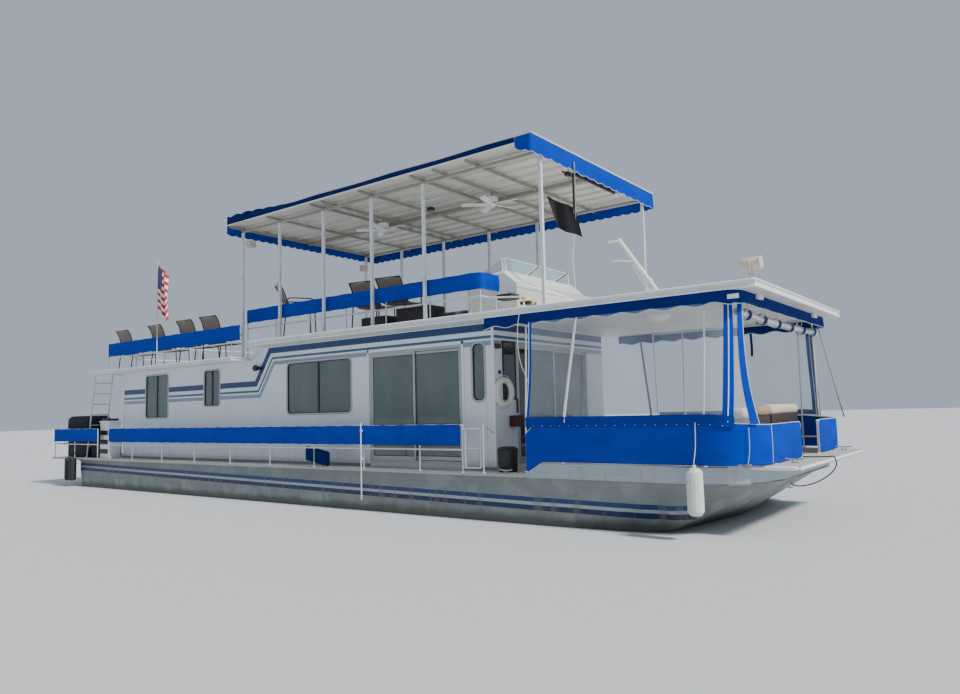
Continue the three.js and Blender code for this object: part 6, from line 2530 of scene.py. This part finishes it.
@dataclass
class Flags(Assembly):
    """The striped flag on its staff and the dark flag under the canopy."""

    staff: Point = (-4.640, -2.346, 5.440)
    striped_size: Pair = (0.75, 1.05)
    dark_size: Pair = (0.60, 0.55)
    corners: tuple[Point, ...] = (
        (6.200, -1.000, 5.090), (6.330, -1.020, 4.570), (5.690, -1.050, 5.395), (5.880, -1.060, 4.800),
    )

    def build(self) -> None:
        """Hangs both flags in soft folds."""
        x0, y0, z0 = self.staff
        width, tall = self.striped_size

        def hanging(along: float, up: float) -> Point:
            """The striped flag's point: it hangs from its hoist in gathered folds.

            Args:
                along: The distance along it.
                up: The distance up it.

            Returns:
                The point.
            """
            t, v = along / width, up / tall
            fall = 0.55 * t * (1.0 - 0.2 * v)
            x = x0 + 0.012 + 0.52 * t ** 0.9 * (1 - 0.15 * v)
            y = y0 + 0.075 * math.sin(t * 11.0 + v * 2.0) * t
            return (x, y, z0 - (tall - up) - fall * 0.7)

        hang(cloth(hanging, (width, tall), (32, 32), 0.0016), "striped_flag", FLAG, (width, tall),
             "low_roof_rail", "hung", "striped_cloth", replaces=["flag_striped"])
        hoist_top, hoist_low, fly_top, fly_low = (Vector(corner) for corner in self.corners)
        wide, high = self.dark_size

        def flying(along: float, up: float) -> Point:
            """The dark flag's point: it streams aft and upwards in shallow folds.

            Args:
                along: The distance along it.
                up: The distance up it.

            Returns:
                The point.
            """
            t, v = along / wide, up / high
            spot = hoist_low.lerp(hoist_top, v).lerp(fly_low.lerp(fly_top, v), t)
            wave = 0.030 * math.sin(t * 9.0 + v * 1.5) * t
            return (spot.x, spot.y + wave, spot.z + 0.012 * math.sin(t * 7.0))

        hang(cloth(flying, (wide, high), (26, 18), 0.0016), "dark_flag", DARK_FLAG, (wide, high),
             "canopy_frame", "hung", "black_plastic")


@dataclass
class Flybridge(Assembly):
    """The helm fairing's trim, its windscreen, wheel and cushions, and the mast."""

    wheel: Point = (4.610, -0.420, 3.980)
    tilt: float = 0.35
    screen_tall: float = 0.24

    def screen(self) -> None:
        """Glazes the windscreen and frames its top edge."""
        half = [((4.340, 1.142, 4.154), (4.350, 1.138, 4.250)),
                ((4.760, 1.142, 4.194), (4.735, 1.136, 4.432)),
                ((4.800, 1.102, 4.198), (4.778, 1.096, 4.440))]
        low, high = ([*mirrored(line, Side.STARBOARD), *reversed(line)] for line in zip(*half))
        foot, head = Path(low), Path(high)

        def place(along: float, up: float) -> Point:
            """The glass's point.

            Args:
                along: The distance along it.
                up: The distance up it.

            Returns:
                The point.
            """
            t = along / foot.length
            spot = foot.at(along).lerp(head.at(t * head.length), up / self.screen_tall)
            return (spot.x, spot.y, spot.z)

        glass = cloth(place, (foot.length, self.screen_tall), (48, 4), 0.006)
        install(glass, "windscreen_glass", SCREEN_GLASS, "window_glass", replaces=["windscreen"])
        bars = [[tuple(line.at(line.length * k / 40)) for k in range(41)] for line in (head, foot)]
        bars += [[a, b] for a, b in zip(low, high)]
        install(pipes(bars, 0.009), "windscreen_frame", WHITE_TRIM, "pipe")
        struts = [[(4.81, a, 4.21), (4.79, b, 4.44)] for a, b in ((-0.42, -0.02), (0.53, 1.04))]
        install(pipes(struts, 0.012), "windscreen_struts", WHITE_TRIM, "pipe")
        seals = [[(4.80, a, 4.192), (4.80, b, 4.192)] for a, b in ((-1.0, -0.3), (0.1, 0.6))]
        seals += [[(p[0] + 0.011, p[1] + 0.01, p[2]) for p in strut] for strut in struts]
        install(pipes(seals, 0.010), "windscreen_seals", DARK_RUBBER, "black_plastic")

    def side_rail(self) -> None:
        """Builds the low white rail beside the fairing, with its amber lamp and dark pads."""
        y, start, top = -1.62, 4.40, 3.70
        rail = [rounded([(start, y, 3.46), (start, y, top), (5.50, y, 3.60), (5.52, y, 3.33)], 0.06)]
        rail += [[(x, y, 3.32), (x, y, top - (x - start) * 0.09)] for x in (start, 4.95)]
        install(smoothed(pipes(rail, 0.016), 50.0), "fairing_rail", WHITE_POST, "pipe")
        lamp = [drum((5.52, y, 3.52), (5.52, y, 3.60), 0.034, 24),
                drum((5.66, y + 0.05, 3.46), (5.66, y + 0.05, 3.53), 0.030, 24)]
        install(smoothed(eased(joined(lamp), 0.008)), "amber_lamps", AMBER, "gelcoat")
        pads = [block((4.86, -1.52, 3.62), (5.20, -1.26, 3.72), 0.03, 3),
                block((5.30, -1.44, 3.50), (5.50, -1.20, 3.56), 0.02, 3)]
        install(smoothed(joined(pads)), "fairing_pads", DARK_PLASTIC, "black_plastic")

    def helm(self) -> None:
        """Builds the wheel."""
        middle = Vector(self.wheel)
        axis = Vector((-math.cos(self.tilt), 0.0, math.sin(self.tilt)))
        turn = (0.0, -math.pi / 2 + self.tilt, 0.0)
        parts = [hoop(tuple(middle), turn, 0.180, 0.0135, (56, 14))]
        for k in range(3):
            angle = math.pi / 2 + k * 2 * math.pi / 3
            spoke = Vector((0.0, math.cos(angle), math.sin(angle)))
            reach = Matrix.Rotation(self.tilt, 3, "Y") @ spoke * 0.178
            parts.append(drum(tuple(middle - axis * 0.004), tuple(middle + reach), 0.013, 14, 0.009))
        parts.append(drum(tuple(middle - axis * 0.029), tuple(middle + axis * 0.020), 0.034, 28, 0.026))
        install(smoothed(joined(parts)), "helm_wheel_rim", DARK_PLASTIC, "black_plastic", "helm_wheel",
                replaces=["helm_wheel"])

    def mast(self) -> None:
        """Builds the folding mast with its second leg and two arms."""
        foot, tip = Vector((7.390, 0.0, 3.358)), Vector((6.490, 0.0, 4.680))

        def on(t: float, shift: float = 0.0) -> Point:
            """A point up the mast."""
            spot = foot.lerp(tip, t)
            return (spot.x - shift, 0.0, spot.z)

        top, low = on(0.985), on(0.68)
        arms = [[top, (tip.x - 0.215, 0.0, tip.z - 0.01)], [low, (low[0] - 0.42, 0.0, low[2] + 0.075)]]
        horn = [(6.738, 0.0, 4.194), (6.885, 0.0, 3.907), (6.986, 0.0, 3.762), (7.118, 0.0, 3.700)]
        parts = [
            pipes([[on(0.0), on(1.0)]], 0.0345, 4),
            pipes([[on(0.08, 0.15), on(0.69)]], 0.0225, 3),
            pipes([[on(0.02), on(0.1, 0.15)]], 0.0185, 3),
            pipes(arms, 0.0205, 3),
            pipes([rounded(horn, 0.04)], 0.0150, 3),
            ball((7.050, 0.0, 3.880), 0.040),
            *(drum((foot.x, -half, foot.z), (foot.x, half, foot.z), radius, sides)
              for half, radius, sides in ((0.066, 0.0138, 20), (0.0417, 0.0265, 24))),
        ]
        install(smoothed(joined(parts), 50.0), "mast_tube", GELCOAT, "gelcoat", "mast", replaces=["mast"])

    def build(self) -> None:
        """Dresses the flybridge and builds its glass, wheel and mast."""
        self.paint(FAIRING_COAT, "fairing")
        self.screen()
        self.side_rail()
        self.helm()
        self.mast()


@dataclass
class Safety(Assembly):
    """The life ring on the front wall and the fender's skin."""

    ring: Point = (5.1103, -1.700, 2.020)
    radius: float = 0.205
    tube: float = 0.0495
    line_reach: float = 0.262
    line_slack: float = 0.018

    def build(self) -> None:
        """Builds the ring with its grab line."""
        x, y, z = self.ring
        body = hoop(self.ring, (0.0, math.pi / 2, 0.0), self.radius, self.tube, (64, 20))
        install(smoothed(body, 60.0), "ring_buoy", FOAM, "foam", replaces=["life_ring"])
        runs = []
        for k in range(4):
            run = []
            for t in (j / 12 for j in range(13)):
                angle = math.pi / 4 + k * math.pi / 2 + t * math.pi / 2
                reach = self.line_reach + self.line_slack * math.sin(math.pi * t)
                run.append((x + 0.02, y + reach * math.cos(angle), z + reach * math.sin(angle)))
            runs.append(run)
        install(pipes(runs, 0.005, 1), "ring_grab_line", WHITE_CORDAGE, "white_line")
        self.paint(FENDER_SKIN, "fender")


@dataclass
class Drives(Assembly):
    """The two stern drives and their propellers."""

    def build(self) -> None:
        """Paints the drives."""
        self.paint(DARK_PAINT, "drive_starboard", "drive_port")
        self.paint(STEEL, "propeller_starboard", "propeller_port")


@dataclass
class DeckChair:
    """A tube-framed chair with a mesh sling, turned and set on a deck."""

    seat: float = 0.42
    width: float = 0.56
    back: float = 0.95

    def build(self, label: str, at: Point, heading: float) -> None:
        """Builds one chair.

        Args:
            label: The chair's name.
            at: The middle of its feet, on the deck.
            heading: The way its sitter faces, in degrees from the bow to port.
        """
        half, arm = self.width / 2, self.seat + 0.22
        profile = [(0.26, self.seat), (0.10, self.seat - 0.02), (-0.20, self.seat - 0.03),
                   (-0.30, self.seat + 0.12), (-0.42, self.back - 0.10), (-0.50, self.back)]
        turn = Matrix.Translation(at) @ Matrix.Rotation(math.radians(heading), 4, "Z")
        tubes = []
        for sign in (-1, 1):
            y = sign * half
            tubes.append(rounded([(x, y, z) for x, z in profile], 0.08))
            legs = ((0.30, 0.0), (0.26, arm), (-0.32, arm), (-0.40, 0.0))
            tubes.append(rounded([(x, y * 1.06, z) for x, z in legs], 0.10))
        crossings = (profile[0], profile[-1], (-0.25, self.seat - 0.01))
        tubes += [[(x, -half, z), (x, half, z)] for x, z in crossings]
        frame = pipes(tubes, 0.013)
        frame.data.transform(turn)
        install(frame, f"{label}_frame", DARK_PAINT, "black_plastic")
        line = Path(rounded([(x, z, 0.0) for x, z in profile], 0.08))

        def place(along: float, up: float) -> Point:
            """The sling's point: it dips between its side tubes.

            Args:
                along: The distance along it.
                up: The distance up it.

            Returns:
                The point.
            """
            spot = line.at(up)
            across = along - half
            dip = 0.018 * (1 - (across / half) ** 2)
            return (spot.x + dip * 0.3, across, spot.y - dip)

        sling = cloth(place, (self.width, line.length), (8, 24), 0.0015)
        sling.data.transform(turn)
        hang(sling, f"{label}_sling", TAN_SLING, (self.width, line.length), f"{label}_frame",
             slot="black_plastic")


@dataclass
class Furnishing(Assembly):
    """The chairs, the seats, the bin and the gear on the decks."""

    aft_chairs: tuple[tuple[float, float, float], ...] = (
        (-6.80, -1.62, 92.0), (-5.20, -1.62, 90.0), (-3.92, -1.62, 94.0), (-2.95, -1.62, 96.0),
    )
    seats: tuple[tuple[float, float, float], ...] = (
        (-0.95, -0.32, 1.67), (-0.27, 0.36, 1.70), (0.42, 1.96, 1.71),
    )
    clear: float = 0.001

    def porch_seats(self) -> None:
        """Sets a row of padded seats across the front of the porch."""
        bases = []
        for k, (near, far, top) in enumerate(self.seats):
            skin = TAN_PAD if k == 1 else CREAM_PAD
            back = block((8.61, near, top - 0.17), (8.84, far, top), 0.075, 5)
            bases.append(block((8.64, near + 0.02, 1.24), (8.82, far - 0.02, top - 0.165), 0.02))
            seat = block((8.10, near, 1.24), (8.66, far, 1.38), 0.05, 4)
            for label, pad in (("back", back), ("seat", seat)):
                install(smoothed(pad), f"porch_seat_{label}_{k + 1}", skin, "gelcoat")
            bases.append(block((8.14, near + 0.03, 0.932), (8.82, far - 0.03, 1.245), 0.02))
        install(smoothed(joined(bases)), "porch_seat_bases", SEAT_BASE, "black_plastic")

    def stern_gear(self) -> None:
        """Sets the covered grill and the white locker on the aft deck."""
        hood = block((-9.62, -2.20, 1.36), (-8.30, -1.55, 1.86), 0.14, 5)
        skirt = block((-9.56, -2.18, ON_DECK), (-8.36, -1.57, 1.44), 0.05, 3)
        bench = block((-8.28, -2.15, ON_DECK), (-7.66, -1.60, 1.40), 0.05, 3)
        install(smoothed(joined([hood, skirt, bench]), 50.0), "grill_cover", GRILL_COVER, "black_plastic")
        body = block((-7.56, -2.25, ON_DECK), (-7.12, -1.92, 1.66), 0.012)
        lid = block((-7.58, -2.27, 1.662), (-7.115, -1.91, 1.71), 0.012)
        install(smoothed(joined([body, lid])), "stern_locker", WHITE_TRIM, "gelcoat")
        tray = [block((-7.54, -2.22, 1.711), (-7.16, -1.96, 1.77), 0.01)]
        tray += [block((-7.55, -2.262, z), (-7.14, -2.251, z + 0.12), 0.004) for z in (0.86, 1.10, 1.34)]
        install(smoothed(joined(tray)), "locker_vents", DARK_PLASTIC, "black_plastic")

    def deck_gear(self) -> None:
        """Stows the dark boxes under the canopy and hangs the pole and the bag on the side rail."""
        spans = (((1.55, -1.55), (2.25, -1.18, 3.62)), ((2.55, -1.60), (3.42, -1.15, 3.70)),
                 ((3.50, -1.50), (3.95, -1.18, 3.52)))
        boxes = [block((*corner, ON_MAIN_ROOF), far, 0.03) for corner, far in spans]
        install(smoothed(joined(boxes)), "deck_boxes", SEAT_BASE, "black_plastic")
        pole = [pipes([[(2.48, -2.470, z) for z in (1.56, 0.20)]], 0.011),
                block((2.462, -2.478, 1.40), (2.498, -2.442, 1.44), 0.004),
                block((2.462, -2.478, 0.90), (2.498, -2.436, 0.94), 0.004)]
        install(smoothed(joined(pole)), "side_pole", WHITE_POST, "pipe")
        bag = block((0.88, -2.425, 0.86), (1.52, -2.335, 1.14), 0.04, 4)
        for corner in bag.data.vertices:
            corner.co.z -= (corner.co.x - 0.88) * 0.17
        install(smoothed(bag), "rail_bag", DARK_CANVAS, "blue_fabric")

    def build(self) -> None:
        """Sets the furniture on the decks."""
        floor = MAIN_ROOF_Z + self.clear
        for k, (x, y, heading) in enumerate(self.aft_chairs):
            DeckChair(back=1.02).build(f"aft_chair_{k + 1}", (x, y, LOW_ROOF_Z + self.clear), heading)
        DeckChair(seat=0.72, back=1.26).build("bar_chair", (-0.62, -1.30, floor), 60.0)
        for k, (x, y) in enumerate(((1.45, -1.05), (2.20, -1.05))):
            DeckChair(seat=0.60, back=1.04).build(f"deck_chair_{k + 1}", (x, y, floor), 100.0)
        self.porch_seats()
        self.stern_gear()
        self.deck_gear()
        x, y = 5.40, -2.05
        bin_parts = [drum((x, y, ON_DECK), (x, y, 1.10), 0.15, 28, 0.17),
                     drum((x, y, 1.10), (x, y, 1.14), 0.175, 28, 0.12)]
        install(smoothed(eased(joined(bin_parts), 0.006)), "deck_bin", DARK_PLASTIC, "black_plastic")


ASSEMBLIES = (
    Lines, Hull, Cabin, Roofs, Rails, Porch, UpperDecks, Canopy, Flags, Flybridge, Safety, Drives, Furnishing,
)


def main() -> None:
    """Builds the scene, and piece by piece."""
    logging.basicConfig(level=logging.INFO, format="%(name)s: %(message)s")
    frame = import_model()
    Studio().build()
    for kind in ASSEMBLIES:
        kind(frame).build()
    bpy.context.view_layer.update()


if __name__ == "__main__":
    main()
